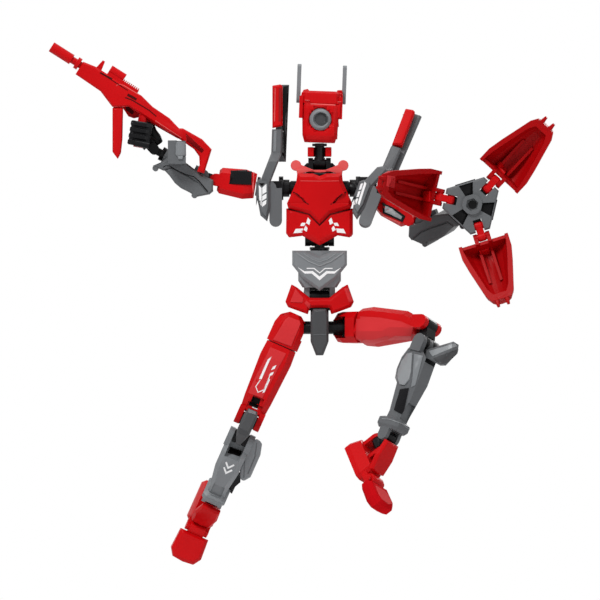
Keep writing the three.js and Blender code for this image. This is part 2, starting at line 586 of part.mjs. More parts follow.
function forearmShell(side) {
  const { bulge, length, front, back, bevel, step, cuff, cuffLength, pin } = forearm;
  const spot = ([across, up]) => [-side * across * bulge, up * length];
  const frame = slab("y", forearmBlockShares.map(spot), -front, back, bevel);
  const cover = slab("y", forearmPlateShares.map(spot), step - front, back - step, bevel);
  const pins = forearmPinShares.map(spot).map(([x, z]) => rod("y", pin, step - front, back - step).translate(x, 0, z));
  const socket = rod("z", cuff, -forearmLength, cuffLength - forearmLength);
  const room = elbowJoint.width / 2 + gap + elbowJoint.lug + gap;
  const inner = -side * forearmBlockShares[9][0] * bulge;
  const start = -elbowJoint.radius - gap;
  const pocket = block(Math.min(inner, side * bulge), Math.max(inner, side * bulge), -room, back + overrun, start, length);
  const clearance = rod("y", elbowJoint.radius + gap, -elbowJoint.width / 2 - gap, elbowJoint.width / 2 + gap);
  const parts = [frame, cover, socket, ...pins];
  if (side < 0) {
    const { radius, length: podLength, across, at, wall, wallHeight, foot } = wristPod;
    const seat = hand.forward + blaster.width / 2 + gap * 2 + radius;
    const depth = seat - front + overrun;
    const pod = joined(
      rod("x", radius, -podLength, 0),
      ball(radius),
      block(radius - wallHeight, radius, -radius, depth, -wall - radius, overrun / 2 - radius),
      block(radius / 2, radius / 2 + foot, -radius, depth, -wall - radius, radius),
    );
    parts.push(pod.rotateY(degrees(-pose.podLean)).translate(-across, -seat, -at));
  }
  const lugs = lugPair("y", elbowJoint, elbowJoint.radius, start - overrun);
  return joined(carved(joined(...parts), pocket, clearance), ...lugs);
}

function wristLinkShape() {
  const discEnd = wrist.length - wristJoint.radius - wrist.disc;
  const disc = rod("z", wrist.discRadius, -wrist.disc, 0);
  const neck = rod("z", wrist.neck, -wrist.length, 0);
  return joined(disc, neck, barrel("y", wristJoint).translate(0, 0, -wrist.length), rod("z", wrist.neck, -discEnd, 0));
}

function handShape() {
  const { width, length, depth, finger, fingerGap, thumb, fistHole, palm, forward, drop } = hand;
  const top = -wristJoint.radius - gap;
  const reach = fistReach;
  const core = loft([
    section(width - fingerGap * 4, depth - fingerGap * 4, fingerGap * 3, -reach + fingerGap),
    section(width - fingerGap * 4, depth - fingerGap * 4, fingerGap * 3, reach - fingerGap),
  ]);
  const points = outline(mirrored(fingerShares), depth, reach * 2, 0, -reach);
  const fingers = [];
  for (let i = 0; i < fingerCount; i += 1) {
    const x = (i - (fingerCount - 1) / 2) * finger;
    const half = (finger - fingerGap) / 2;
    fingers.push(slab("x", points, x - half, x + half, fingerGap * 1.4));
  }
  const thumbRod = rod("z", thumb / 2, -reach * 0.3, reach).translate(width / 2 - thumb / 2, -depth / 2, 0);
  const hole = rod("x", fistHole + gap, -width, width);
  const fist = carved(joined(core, ...fingers, thumbRod), hole).rotateY(degrees(pose.fistLean)).translate(0, -forward, -drop);
  const heel = loft([
    section(width * 0.5, palm, fingerGap * 3, -drop, 0, palm / 2 - forward + fistHole + gap),
    section(width * 0.6, depth * 0.7, fingerGap * 3, top, 0, palm / 2 - forward + fistHole + gap),
  ]);
  const knuckleBack = wristJoint.width / 2 + gap + wristJoint.lug;
  const knuckle = block(-wristJoint.radius, wristJoint.radius, fistHole + gap - forward, knuckleBack, top - palm, top);
  return joined(fist, heel, knuckle, ...lugPair("y", wristJoint, wristJoint.radius, top - palm));
}

// The fist's lean from straight down, and the slant that sets the grip along the fist's bore.
const handLean = pose.armRaise[0] + pose.elbowUpper[0] + pose.elbowLower[0] + pose.wristBend[0];
const gripRake = handLean + pose.fistLean - 90 - pose.blasterHeading;
// The blaster's outline starts this far ahead of the fist, which keeps its magazine clear of the fingers.
const fistReach = (hand.length - hand.palm) / 2;
const blasterFront = -(fistReach + magazine.width / 2 + blaster.gripSpace + magwellMiddleShare * blaster.length);

// Toy blaster: muzzle towards -X, top towards +Z, with the grip's middle at the origin

function blasterBody() {
  const { length, height, width, bevel, drop, barrelLine } = blaster;
  const front = blasterFront;
  const receiver = slab("y", outline(blasterShares, length, height, front, drop), -width / 2, width / 2, bevel);
  const { radius, length: barrelLength, muzzle, muzzleLength, bore, ring, ringWidth } = blasterBarrel;
  const tip = front - barrelLength;
  const tube = rod("x", radius, tip, front + overrun);
  const can = rod("x", muzzle, tip, tip + muzzleLength);
  const band = rod("x", ring, front - ringWidth * 1.5, front - ringWidth / 2);
  const barrelSet = joined(tube, can, band).translate(0, 0, barrelLine);
  const hole = rod("x", bore, tip - overrun, tip + muzzleLength / 2).translate(0, 0, barrelLine);
  const window = slab("y", outline(stockWindowShares, length, height, front, drop), -width, width);
  const grip = rod("z", blasterGrip.radius, -blasterGrip.length / 2, drop + height * 0.62).rotateY(degrees(gripRake));
  const { railHeight, railWidth, railLength, railAt, scope, scopeLength, sight, sightAt } = blasterTop;
  const top = drop + height;
  const parts = [receiver, barrelSet, grip];
  parts.push(slab("y", outline(sightShares, sight, sight, front + sightAt, top + sight * 0.8), -bevel, bevel));
  parts.push(block(front + railAt, front + railAt + railLength, -railWidth / 2, railWidth / 2, top - bevel, top + railHeight));
  for (let i = 0; i < railRibs; i += 1) {
    const x = front + railAt + scopeLength + ((i + 0.25) * (railLength - scopeLength)) / railRibs;
    parts.push(block(x, x + (railLength - scopeLength) / railRibs / 2, -railWidth / 2, railWidth / 2, top, top + railHeight * 1.6));
  }
  parts.push(rod("x", scope, front + railAt, front + railAt + scopeLength).translate(0, 0, top + railHeight + scope * 0.7));
  return carved(joined(...parts), hole, window);
}

// The middle of the slanted mouth that the magazine hangs under.
function magazinePlace() {
  const [start, end] = outline(magwellShares, blaster.length, blaster.height, blasterFront, blaster.drop);
  const lean = degrees(pose.blasterHeading);
  return [(start[0] + end[0]) / 2 + gap * Math.sin(lean), 0, (start[1] + end[1]) / 2 - gap * Math.cos(lean)];
}

function magazineShape() {
  const { width, depth, length, bevel } = magazine;
  return slab("y", outline(magazineShares, width, length), -depth / 2, depth / 2, bevel);
}

// Claw: its axis is local -Z, and each petal's own frame has +X outwards along its arm

function clawHubShape(turn) {
  const { radius, thickness, collar: collarRadius, collarHeight, hexBore, slot, armWidth, pivot, stem, bevel } = clawHub;
  const back = -stem;
  const front = back - thickness;
  const points = [];
  const cuts = [];
  for (let i = 0; i < petalCount; i += 1) {
    const arm = (i * 2 * Math.PI) / petalCount;
    for (const across of [-armWidth / 2, armWidth / 2]) {
      points.push([radius * Math.cos(arm) - across * Math.sin(arm), radius * Math.sin(arm) + across * Math.cos(arm)]);
    }
    const root = pivot - clawJoint.radius - gap * 2;
    const mouth = block(root, radius + overrun, -slot / 2, slot / 2, front - overrun, back + overrun);
    const window = slab("z", outline(hubWindowShares, clawHub.window, clawHub.window), front - overrun, back + overrun);
    cuts.push(mouth.rotateZ(arm), window.translate(clawHub.windowAt, 0, 0).rotateZ(arm + Math.PI / petalCount));
  }
  const plate = slab("z", points, front, back, bevel);
  const ring = rod("z", collarRadius, front - collarHeight, front + overrun, wideSides);
  const bore = rod("z", hexBore, front - collarHeight - overrun, front + collarHeight, 6);
  const wheel = carved(joined(plate, ring), bore, ...cuts).rotateZ(degrees(turn));
  const lugs = lugPair("y", wristJoint, wristJoint.radius, back - overrun);
  const plinthHalf = wristJoint.width / 2 + gap + wristJoint.lug;
  const plinth = block(-wristJoint.radius, wristJoint.radius, -plinthHalf, plinthHalf, back - overrun, -wristJoint.radius - gap);
  return joined(wheel, plinth, ...lugs);
}

function clawLinkShape() {
  const { reach } = clawLink;
  const half = clawJoint.width / 2;
  const web = clawJoint.radius * 0.8;
  return joined(barrel("y", clawJoint), barrel("y", clawJoint).translate(reach, 0, 0), block(0, reach, -half, half, -web, web));
}

// Half-round sections along +X: flat side towards -Z, crown towards +Z.
function petalSkin(shrink, extra) {
  const { width, length, depth } = petal;
  const sections = petalShares.map(([along, across, deep]) => {
    const w = (width * across) / 2 - shrink;
    const d = depth * deep - shrink;
    const x = petal.start + along * length;
    const ring = [];
    for (let i = 0; i <= petalArcSteps; i += 1) {
      const turn = (Math.PI * i) / petalArcSteps;
      ring.push(new THREE.Vector3(x, w * Math.cos(turn), d * Math.sin(turn)));
    }
    ring.push(new THREE.Vector3(x, -w, -extra), new THREE.Vector3(x, w, -extra));
    return ring;
  });
  return loft(sections);
}

function petalShape() {
  const { wall, rib, start, length, prong, lip } = petal;
  const outer = petalSkin(0, lip);
  const inner = petalSkin(wall, lip + overrun).translate(-wall * 2, 0, 0);
  const shell = carved(outer, inner);
  const half = clawJoint.width / 2 + gap;
  const lugs = [-1, 1].map((hand) => {
    const from = hand < 0 ? -half - clawJoint.lug : half;
    const to = hand < 0 ? -half : half + clawJoint.lug;
    return joined(rod("y", clawJoint.radius, from, to), block(0, start + wall, from, to, -clawJoint.radius * 0.8, clawJoint.radius * 0.8));
  });
  const bulkhead = carved(petalSkin(wall / 2, 0), block(start + wall, start + length + overrun, -petal.width, petal.width, -petal.depth, petal.depth * 2));
  const ribs = [-1, 1].map((hand) => block(start, start + length * 0.6, hand * rib * 2 - rib / 2, hand * rib * 2 + rib / 2, petal.depth * 0.5, petal.depth * 0.8));
  const tips = [-1, 1].map((hand) => loft([
    section(prong * 0.5, prong * 0.5, prong * 0.1, prong * 1.2),
    section(prong, prong, prong * 0.2, -prong * 0.4),
  ].reverse()).rotateY(Math.PI / 2).translate(start + length, hand * petal.width * 0.1, 0));
  return joined(shell, bulkhead, ...lugs, ...ribs, ...tips);
}

// Legs

function hipLinkShape(side) {
  const { disc, discWidth, neck, reach } = hipLink;
  const plate = rod("x", disc, -reach, discWidth - reach);
  const arm = rod("x", neck, -reach, 0);
  const link = joined(barrel("y", hipJoint), plate, arm);
  return side < 0 ? link.rotateZ(Math.PI) : link;
}

function thighCapShape(side) {
  const { width, depth, top, length, chamfer, wall } = thighCap;
  const low = top - length;
  const shell = loft([
    section(width, depth, chamfer, low),
    section(width, depth, chamfer, 0),
    section(width * 0.86, depth * 0.92, chamfer, top * 0.56),
    section(width * 0.5, depth * 0.74, chamfer, top),
  ]);
  const half = hipJoint.width / 2 + gap;
  const outer = width / 2 - wall;
  const floor = -hipJoint.radius - gap;
  const pocket = side > 0 ? block(-width, outer, -half, half, floor, top - wall) : block(-outer, width, -half, half, floor, top - wall);
  const slot = hipLink.disc + gap;
  return carved(shell, pocket, block(-width, width, -slot, slot, 0, top + overrun));
}

function thighShell() {
  const { width, depth, tipWidth, tipDepth, length, chamfer } = thigh;
  const start = thighCap.top - thighCap.length - gap;
  const end = start - length;
  const shell = loft([
    section(tipWidth * 0.9, tipDepth * 0.7, chamfer, end, 0, tipDepth * 0.08),
    section(tipWidth, tipDepth, chamfer, end + length * 0.2),
    section(width, depth, chamfer, start - length * 0.2),
    section(width * 0.94, depth * 0.94, chamfer, start),
  ]);
  const lugs = lugPair("x", kneeJoint, kneeJoint.radius, end + thighLength + overrun).map((lug) => lug.translate(0, 0, -thighLength));
  const { width: w, height, drop } = thighWindow;
  const window = block(-w / 2, w / 2, -depth, -depth * 0.28, start - drop - height / 2, start - drop + height / 2);
  const half = kneeJoint.width / 2 + gap;
  const knee = rod("x", kneeJoint.radius + gap, -half, half).translate(0, 0, -thighLength);
  const capRoom = block(-half, half, -depth, -kneeJoint.radius, -thighLength - overrun, kneecap.top + gap * 2 - thighLength);
  return carved(joined(shell, ...lugs), knee, window, capRoom);
}

// The kneecap swings on the lower knee axle, with its tongue between the link's cheeks.
function kneecapShape() {
  const { height, reach, top, bevel, tongue } = kneecap;
  const low = kneeJoint.spacing + top - height;
  const profile = outline(kneecapShares, -reach, height, 0, low);
  const front = outline(mirrored(kneecapFrontShares), kneeJoint.width, height, 0, low);
  const half = kneeJoint.width / 2;
  const armour = common(slab("x", profile, -half, half, bevel), slab("y", front, -reach - overrun, 0));
  const neck = tongue / 2;
  const arm = block(-neck, neck, -reach / 2, 0, -neck, neck);
  return joined(armour, arm, rod("x", kneeJoint.radius, -neck, neck));
}

function kneeLinkShape() {
  const slot = kneecap.tongue / 2 + gap;
  return carved(doubleLink("x", kneeJoint), rod("x", kneeJoint.radius + gap, -slot, slot).translate(0, 0, -kneeJoint.spacing));
}

function shinShell() {
  const { width, depth, tipWidth, tipDepth, chamfer, lean } = shin;
  const start = -kneeJoint.radius - gap;
  const end = -shinLength + ankleJoint.radius + gap;
  const shell = loft([
    section(tipWidth, tipDepth, chamfer, end + gap, 0, 0),
    section(tipWidth, tipDepth, chamfer, end * 0.8, 0, -lean),
    section(width, depth, chamfer, end * 0.42, 0, -lean),
    section(width, depth * 0.9, chamfer, start * 1.8, 0, -lean),
    section(width * 0.9, depth * 0.5, chamfer, start, 0, 0),
  ]);
  const muscle = slab("x", outline(calfShares, calf.depth, calf.length, calf.seat, calf.top - calf.length), -calf.width / 2, calf.width / 2, calf.bevel);
  const { width: cuffWidth, depth: cuffDepth, height: cuffHeight, chamfer: cuffChamfer } = shinCuff;
  const cuff = loft([
    section(cuffWidth - cuffChamfer, cuffDepth - cuffChamfer, cuffChamfer, end),
    section(cuffWidth, cuffDepth, cuffChamfer, end + cuffHeight * 0.3),
    section(cuffWidth, cuffDepth, cuffChamfer, end + cuffHeight * 0.8),
    section(tipWidth, tipDepth, cuffChamfer, end + cuffHeight),
  ]);
  const recessLow = end + cuffHeight + gap;
  const recessHalf = shinRecess.width / 2;
  const recess = block(-recessHalf, recessHalf, -depth, shinRecess.depth - tipDepth / 2 - lean, recessLow, recessLow + shinRecess.height);
  const lugs = lugPair("x", kneeJoint, kneeJoint.radius, start - overrun);
  const half = kneeJoint.width / 2 + gap;
  const knee = rod("x", kneeJoint.radius + gap, -half, half);
  const capRoom = block(-half, half, -depth, 0, -kneecap.room, 0);
  const ankleLugs = lugPair("x", ankleJoint, ankleJoint.radius, end + shinLength + overrun).map((lug) => lug.translate(0, 0, -shinLength));
  return joined(carved(joined(shell, cuff, muscle), knee, capRoom, recess), ...lugs, ...ankleLugs);
}

function ankleLinkShape() {
  const half = ankleJoint.width / 2;
  const drop = ankleJoint.spacing;
  const neck = block(-half * 0.7, half * 0.7, -half * 0.7, half * 0.7, -drop, 0);
  return joined(barrel("x", ankleJoint), barrel("y", ankleJoint).translate(0, 0, -drop), neck);
}

function footShell() {
  const { width, length, height, sole, heel, chamfer } = foot;
  const top = height - sole;
  const base = loft([
    section(width, length, chamfer, -sole, 0, heel - length / 2),
    section(width, length, chamfer, -sole * 0.8, 0, heel - length / 2),
    section(width * 0.8, length * 0.86, chamfer, top, 0, heel - length * 0.5),
  ]);
  const half = ankleJoint.width / 2 + gap;
  const room = block(-width, width, -half, half, -ankleJoint.radius - gap, height);
  const well = rod("y", ankleJoint.radius + gap, -half, half);
  const lugs = lugPair("y", ankleJoint, ankleJoint.radius, top - overrun);
  const guardPoints = outline(mirrored(instepShares), instep.width, instep.length, 0, -instep.length * 0.5);
  const guard = slab("y", guardPoints, -instep.thickness / 2, instep.thickness / 2, instep.thickness * 0.3);
  guard.rotateX(degrees(pose.instepSlope));
  guard.translate(0, -instep.reach, top + instep.rise);
  const toeAt = heel - length - gap - toeJoint.radius;
  const toeRise = toe.height - toeJoint.radius - sole;
  const toeLugs = [-1, 1].map((hand) => {
    const inner = toeJoint.width / 2 + gap;
    const [from, to] = hand < 0 ? [-inner - toeJoint.lug, -inner] : [inner, inner + toeJoint.lug];
    const foot = block(from, to, 0, toeJoint.radius + gap + overrun, -toeJoint.radius, toeJoint.radius / 2);
    return joined(rod("x", toeJoint.radius, from, to), foot).translate(0, toeAt, toeRise);
  });
  return joined(carved(base, room, well), ...lugs, ...toeLugs, guard);
}

function toeShape() {
  const { width, length, height, chamfer } = toe;
  const back = -toeJoint.radius - gap;
  const points = outline(mirrored(toeShares), width, length, 0, back - length);
  const plate = slab("z", points, toeJoint.radius - height, toeJoint.radius, chamfer);
  const half = toeJoint.width / 2;
  const tongue = block(-half, half, back - overrun, 0, -toeJoint.radius, toeJoint.radius / 2);
  return joined(plate, tongue, barrel("x", toeJoint));
}

// Assembly

const robot = new THREE.Group();
const figure = placed(robot, [0, -chestDepth, 0]);

piece(figure, "chest_frame", chestFrame(), blackPlastic);
piece(figure, "chest_plate", chestPlate(), redPlastic);
piece(figure, "back_plate", backShell(), greyPlastic);
piece(figure, "collar", collarBar(), redPlastic);

const neck = hinge(figure, "neck_nod", [0, 0, neckHeight], "x", pose.neckNod);
piece(neck, "neck_post", neckPostShape(), blackPlastic);
piece(neck, "neck_yoke", neckYokeShape(), redPlastic);
const skull = placed(hinge(neck, "head_turn", [0, 0, neckLength], "z", pose.headTurn), [0, 0, 0], [0, pose.headLean, 0]);
piece(skull, "head_shell", headShell(), redPlastic);
piece(placed(skull, [0, -head.depth / 2, eye.height]), "eye_ring", eyeRing(), greyPlastic);
for (const [side, hand] of [[-1, "right"], [1, "left"]]) {
  const x = side * (head.width / 2 + gap + ear.thickness / 2);
  const earHinge = hinge(skull, `ear_tilt_${hand}`, [x, ear.back, ear.pivot], "x", 0);
  piece(earHinge, `ear_blade_${hand}`, earBlade(), greyPlastic);
}

const waist = hinge(figure, "waist_bend", [0, 0, -waistDrop], "x", 0);
piece(waist, "waist_link", waistLinkShape(), blackPlastic);
const belly = hinge(waist, "waist_twist", [0, 0, -waistLength - gap], "z", 0);
piece(belly, "abdomen_shell", abdomenShell(), greyPlastic);
const pelvisPivot = pelvisDrop - waistDrop - waistLength;
const hips = hinge(belly, "pelvis_tilt", [0, 0, -pelvisPivot], "x", 0);
piece(hips, "pelvis_frame", pelvisFrame(), blackPlastic);
piece(hips, "pelvis_armor", pelvisArmor(), redPlastic);
piece(hips, "groin_guard", groinGuardShape(), greyPlastic);

function buildArm(side, hand, i) {
  const swing = hinge(figure, `shoulder_swing_${hand}`, [side * shoulderReach, 0, shoulderHeight], "x", -pose.shoulderSwing[i]);
  piece(swing, `shoulder_hub_${hand}`, shoulderHubShape(side), blackPlastic);
  const guard = hinge(swing, `guard_tilt_${hand}`, [0, 0, -pose.guardHang[i]], "y", pose.guardTilt[i]);
  piece(guard, `shoulder_guard_${hand}`, shoulderGuardShape(), greyPlastic);
  piece(guard, `wing_blade_${hand}`, wingBladeShape(), redPlastic);
  const raise = hinge(swing, `arm_raise_${hand}`, [0, 0, 0], "y", -side * pose.armRaise[i]);
  piece(raise, `arm_root_${hand}`, armRootShape(), blackPlastic);
  const twist = hinge(raise, `arm_twist_${hand}`, [0, 0, 0], "z", pose.armTwist[i]);
  piece(twist, `upper_arm_shell_${hand}`, upperArmShell(side), redPlastic);
  const elbow = hinge(twist, `elbow_upper_${hand}`, [0, 0, -upperArmLength], "y", -side * pose.elbowUpper[i]);
  piece(elbow, `elbow_link_${hand}`, doubleLink("y", elbowJoint), blackPlastic);
  const fore = hinge(elbow, `elbow_lower_${hand}`, [0, 0, -elbowJoint.spacing], "y", -side * pose.elbowLower[i]);
  piece(fore, `forearm_shell_${hand}`, forearmShell(side), greyPlastic);
  const wristTurn = hinge(fore, `wrist_turn_${hand}`, [0, 0, -forearmLength - gap], "z", pose.wristTurn[i]);
  piece(wristTurn, `wrist_link_${hand}`, wristLinkShape(), blackPlastic);
  return hinge(wristTurn, `wrist_bend_${hand}`, [0, 0, -wrist.length], "y", -side * pose.wristBend[i]);
}

const rightHand = buildArm(-1, "right", 0);
piece(rightHand, "hand_right", handShape(), blackPlastic);
const blasterFrame = placed(rightHand, [0, -hand.forward, -hand.drop], [0, pose.blasterHeading - handLean, 0]);
piece(blasterFrame, "blaster_body", blasterBody(), redPlastic);
piece(placed(blasterFrame, magazinePlace(), [0, -pose.blasterHeading, 0]), "blaster_magazine", magazineShape(), redPlastic);

const leftHand = buildArm(1, "left", 1);
piece(leftHand, "claw_hub", clawHubShape(pose.clawTurn), greyPlastic);
const claw = placed(leftHand, [0, 0, 0], [0, 0, pose.clawTurn]);
for (let i = 0; i < petalCount; i += 1) {
  const arm = placed(claw, [0, 0, 0], [0, 0, (i * 360) / petalCount]);
  const z = -clawHub.stem - clawHub.thickness / 2;
  const link = hinge(arm, `claw_link_turn_${i + 1}`, [clawHub.pivot, 0, z], "y", 0);
  piece(link, `claw_link_${i + 1}`, clawLinkShape(), redPlastic);
  const leaf = hinge(link, `claw_petal_turn_${i + 1}`, [clawLink.reach, 0, 0], "y", pose.petalTurn[i]);
  piece(leaf, `claw_petal_${i + 1}`, petalShape(), redPlastic);
}

function buildLeg(side, hand, i) {
  const swing = hinge(hips, `hip_swing_${hand}`, [side * hipReach, 0, -hipDrop], "x", -pose.hipSwing[i]);
  piece(swing, `hip_link_${hand}`, hipLinkShape(side), blackPlastic);
  const splay = hinge(swing, `hip_splay_${hand}`, [0, 0, 0], "y", -side * pose.hipSplay[i]);
  piece(splay, `thigh_cap_${hand}`, thighCapShape(side), redPlastic);
  const twist = hinge(splay, `thigh_twist_${hand}`, [0, 0, 0], "z", pose.thighTwist[i]);
  piece(twist, `thigh_shell_${hand}`, thighShell(), redPlastic);
  const knee = hinge(twist, `knee_upper_${hand}`, [0, 0, -thighLength], "x", pose.kneeUpper[i]);
  piece(knee, `knee_link_${hand}`, kneeLinkShape(), blackPlastic);
  const cap = hinge(knee, `kneecap_swing_${hand}`, [0, 0, -kneeJoint.spacing], "x", pose.kneecapSwing[i]);
  piece(cap, `kneecap_${hand}`, kneecapShape(), greyPlastic);
  const lower = hinge(knee, `knee_lower_${hand}`, [0, 0, -kneeJoint.spacing], "x", pose.kneeLower[i]);
  piece(lower, `shin_shell_${hand}`, shinShell(), greyPlastic);
  const ankle = hinge(lower, `ankle_pitch_${hand}`, [0, 0, -shinLength], "x", pose.anklePitch[i]);
  piece(ankle, `ankle_link_${hand}`, ankleLinkShape(), blackPlastic);
  const roll = hinge(ankle, `ankle_roll_${hand}`, [0, 0, -ankleJoint.spacing], "y", -side * pose.ankleRoll[i]);
  piece(roll, `foot_shell_${hand}`, footShell(), redPlastic);
  const toes = hinge(roll, `toe_bend_${hand}`, [0, foot.heel - foot.length - gap - toeJoint.radius, toe.height - toeJoint.radius - foot.sole], "x", pose.toeBend[i]);
  piece(toes, `toe_${hand}`, toeShape(), redPlastic);
}

buildLeg(-1, "right", 0);
buildLeg(1, "left", 1);

export default robot;
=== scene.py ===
import json
import math

import bpy
import bmesh
from mathutils import Matrix, Vector

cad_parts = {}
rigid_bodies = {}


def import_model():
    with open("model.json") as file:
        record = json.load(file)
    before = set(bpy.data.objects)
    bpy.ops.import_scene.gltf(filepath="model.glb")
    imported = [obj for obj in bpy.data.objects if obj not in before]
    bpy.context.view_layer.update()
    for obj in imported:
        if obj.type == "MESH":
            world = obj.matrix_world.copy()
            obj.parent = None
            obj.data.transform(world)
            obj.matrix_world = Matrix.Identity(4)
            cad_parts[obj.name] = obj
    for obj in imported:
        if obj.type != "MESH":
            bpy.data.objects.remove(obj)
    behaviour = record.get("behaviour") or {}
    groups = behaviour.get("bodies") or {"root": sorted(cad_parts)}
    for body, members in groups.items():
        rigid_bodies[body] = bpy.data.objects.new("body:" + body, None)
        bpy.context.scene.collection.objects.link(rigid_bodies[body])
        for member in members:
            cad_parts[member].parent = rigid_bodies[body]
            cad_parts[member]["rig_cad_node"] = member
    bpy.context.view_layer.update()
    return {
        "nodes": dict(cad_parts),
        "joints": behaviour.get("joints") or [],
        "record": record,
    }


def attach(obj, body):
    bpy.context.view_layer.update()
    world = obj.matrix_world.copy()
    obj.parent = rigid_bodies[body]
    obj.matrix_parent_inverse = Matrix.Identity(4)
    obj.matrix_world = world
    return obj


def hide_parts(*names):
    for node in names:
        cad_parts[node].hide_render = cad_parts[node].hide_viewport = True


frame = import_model()
nodes = frame["nodes"]
joints = {joint["name"]: joint for joint in frame["joints"]}
record = frame["record"]
bodyOf = {node: body for body, members in record["behaviour"]["bodies"].items() for node in members}
slotOf = {part["node"]: part["material_slot"] for part in record["subparts"]}
mm = 0.001  # the frame is in metres, and the sizes here are in millimetres


def pick(obj):
    bpy.ops.object.select_all(action="DESELECT")
    obj.select_set(True)
    bpy.context.view_layer.objects.active = obj


def applyAll(obj):
    pick(obj)
    for modifier in list(obj.modifiers):
        bpy.ops.object.modifier_apply(modifier=modifier.name)


def applyPlace(obj):
    pick(obj)
    bpy.ops.object.transform_apply(location=True, rotation=True, scale=True)


# Plastics: each family's finish, with lengths in metres, and then the colours of each look
finishSetup = {"from": 0.3, "to": 0.7, "mottleDetail": 3, "grainDetail": 2, "bevelSamples": 4}
redFinish = {"mottleScale": 60, "grainScale": 2600, "roughness": (0.34, 0.44), "edge": 0.0002,
             "grainStrength": 0.12, "grainDepth": 0.00003, "specular": 0.12}
greyFinish = {"mottleScale": 80, "grainScale": 3200, "roughness": (0.36, 0.48), "edge": 0.0002,
              "grainStrength": 0.2, "grainDepth": 0.00003, "specular": 0.3}
blackFinish = {"mottleScale": 70, "grainScale": 2400, "roughness": (0.22, 0.32), "edge": 0.0002,
               "grainStrength": 0.1, "grainDepth": 0.00002, "specular": 0.12}
plasticLooks = {
    "redPlastic": {**redFinish, "colour": (0.56, 0.002, 0.004, 1), "shade": (0.5, 0.0015, 0.003, 1)},
    "petalRedPlastic": {**redFinish, "colour": (0.4, 0.0012, 0.0024, 1), "shade": (0.34, 0.001, 0.002, 1),
                        "roughness": (0.38, 0.48), "specular": 0.1},
    "litToePlastic": {**redFinish, "colour": (0.6, 0.06, 0.062, 1), "shade": (0.54, 0.05, 0.052, 1),
                      "roughness": (0.75, 0.85), "grainStrength": 0.2, "specular": 0.02},
    "dullRedPlastic": {**redFinish, "colour": (0.55, 0.004, 0.008, 1), "shade": (0.46, 0.003, 0.006, 1),
                       "roughness": (0.75, 0.85), "grainStrength": 0.2, "specular": 0.02},
    # painted highlight: a paler red standing in for light on rims, ridges, stripes and up-turned faces
    "paleRedPlastic": {**redFinish, "colour": (0.74, 0.105, 0.1, 1), "shade": (0.69, 0.09, 0.088, 1)},
    # painted highlight: a lighter red for facets and faces that catch the light
    "softRedPlastic": {**redFinish, "colour": (0.6, 0.03, 0.034, 1), "shade": (0.56, 0.026, 0.03, 1),
                       "roughness": (0.36, 0.46), "grainStrength": 0.16},
    # painted shade: a darker red for shaded strips, recess floors and cores
    "deepRedPlastic": {**redFinish, "colour": (0.3, 0.001, 0.003, 1), "shade": (0.26, 0.001, 0.0025, 1),
                       "roughness": (0.4, 0.5), "edge": 0.0001, "specular": 0.2},
    "greyPlastic": {**greyFinish, "colour": (0.112, 0.118, 0.124, 1), "shade": (0.096, 0.1, 0.106, 1),
                    "specular": 0.26},
    # painted highlight: a paler grey for lit ribs, facets, plates and rims
    "paleGreyPlastic": {**greyFinish, "colour": (0.26, 0.275, 0.285, 1), "shade": (0.235, 0.245, 0.255, 1),
                        "specular": 0.35},
    "midGreyPlastic": {**greyFinish, "colour": (0.2, 0.212, 0.222, 1), "shade": (0.18, 0.19, 0.2, 1)},
    "darkGreyPlastic": {**greyFinish, "colour": (0.052, 0.053, 0.056, 1),
                        "shade": (0.044, 0.045, 0.048, 1)},
    "blackPlastic": {**blackFinish, "colour": (0.006, 0.006, 0.007, 1), "shade": (0.004, 0.004, 0.005, 1)},
    "seamShadow": {**blackFinish, "colour": (0.004, 0.003, 0.003, 1), "shade": (0.003, 0.002, 0.002, 1),
                   "roughness": (0.6, 0.7), "edge": 0.0001, "specular": 0.05},
    # painted shade: a near-black red in grooves, recesses, openings and slots
    "redSeam": {**blackFinish, "colour": (0.07, 0.001, 0.002, 1), "shade": (0.05, 0.001, 0.001, 1),
                "roughness": (0.55, 0.65), "edge": 0.0001, "specular": 0.1},
    "whiteInk": {**blackFinish, "colour": (0.86, 0.86, 0.86, 1), "shade": (0.82, 0.82, 0.83, 1),
                 "mottleScale": 90, "grainScale": 3000, "roughness": (0.45, 0.55), "edge": 0.00005,
                 "specular": 0.2},
}


def newMaterial(name):
    material = bpy.data.materials.new(name)
    material.use_nodes = True
    tree = material.node_tree
    return material, tree, tree.nodes["Principled BSDF"]


def addNoise(tree, coords, scale, detail, low, high):
    noise = tree.nodes.new("ShaderNodeTexNoise")
    noise.inputs["Scale"].default_value = scale
    noise.inputs["Detail"].default_value = detail
    tree.links.new(coords.outputs["Object"], noise.inputs["Vector"])
    spread = tree.nodes.new("ShaderNodeMapRange")
    spread.inputs["From Min"].default_value = finishSetup["from"]
    spread.inputs["From Max"].default_value = finishSetup["to"]
    spread.inputs["To Min"].default_value = low
    spread.inputs["To Max"].default_value = high
    tree.links.new(noise.outputs["Fac"], spread.inputs["Value"])
    return noise, spread


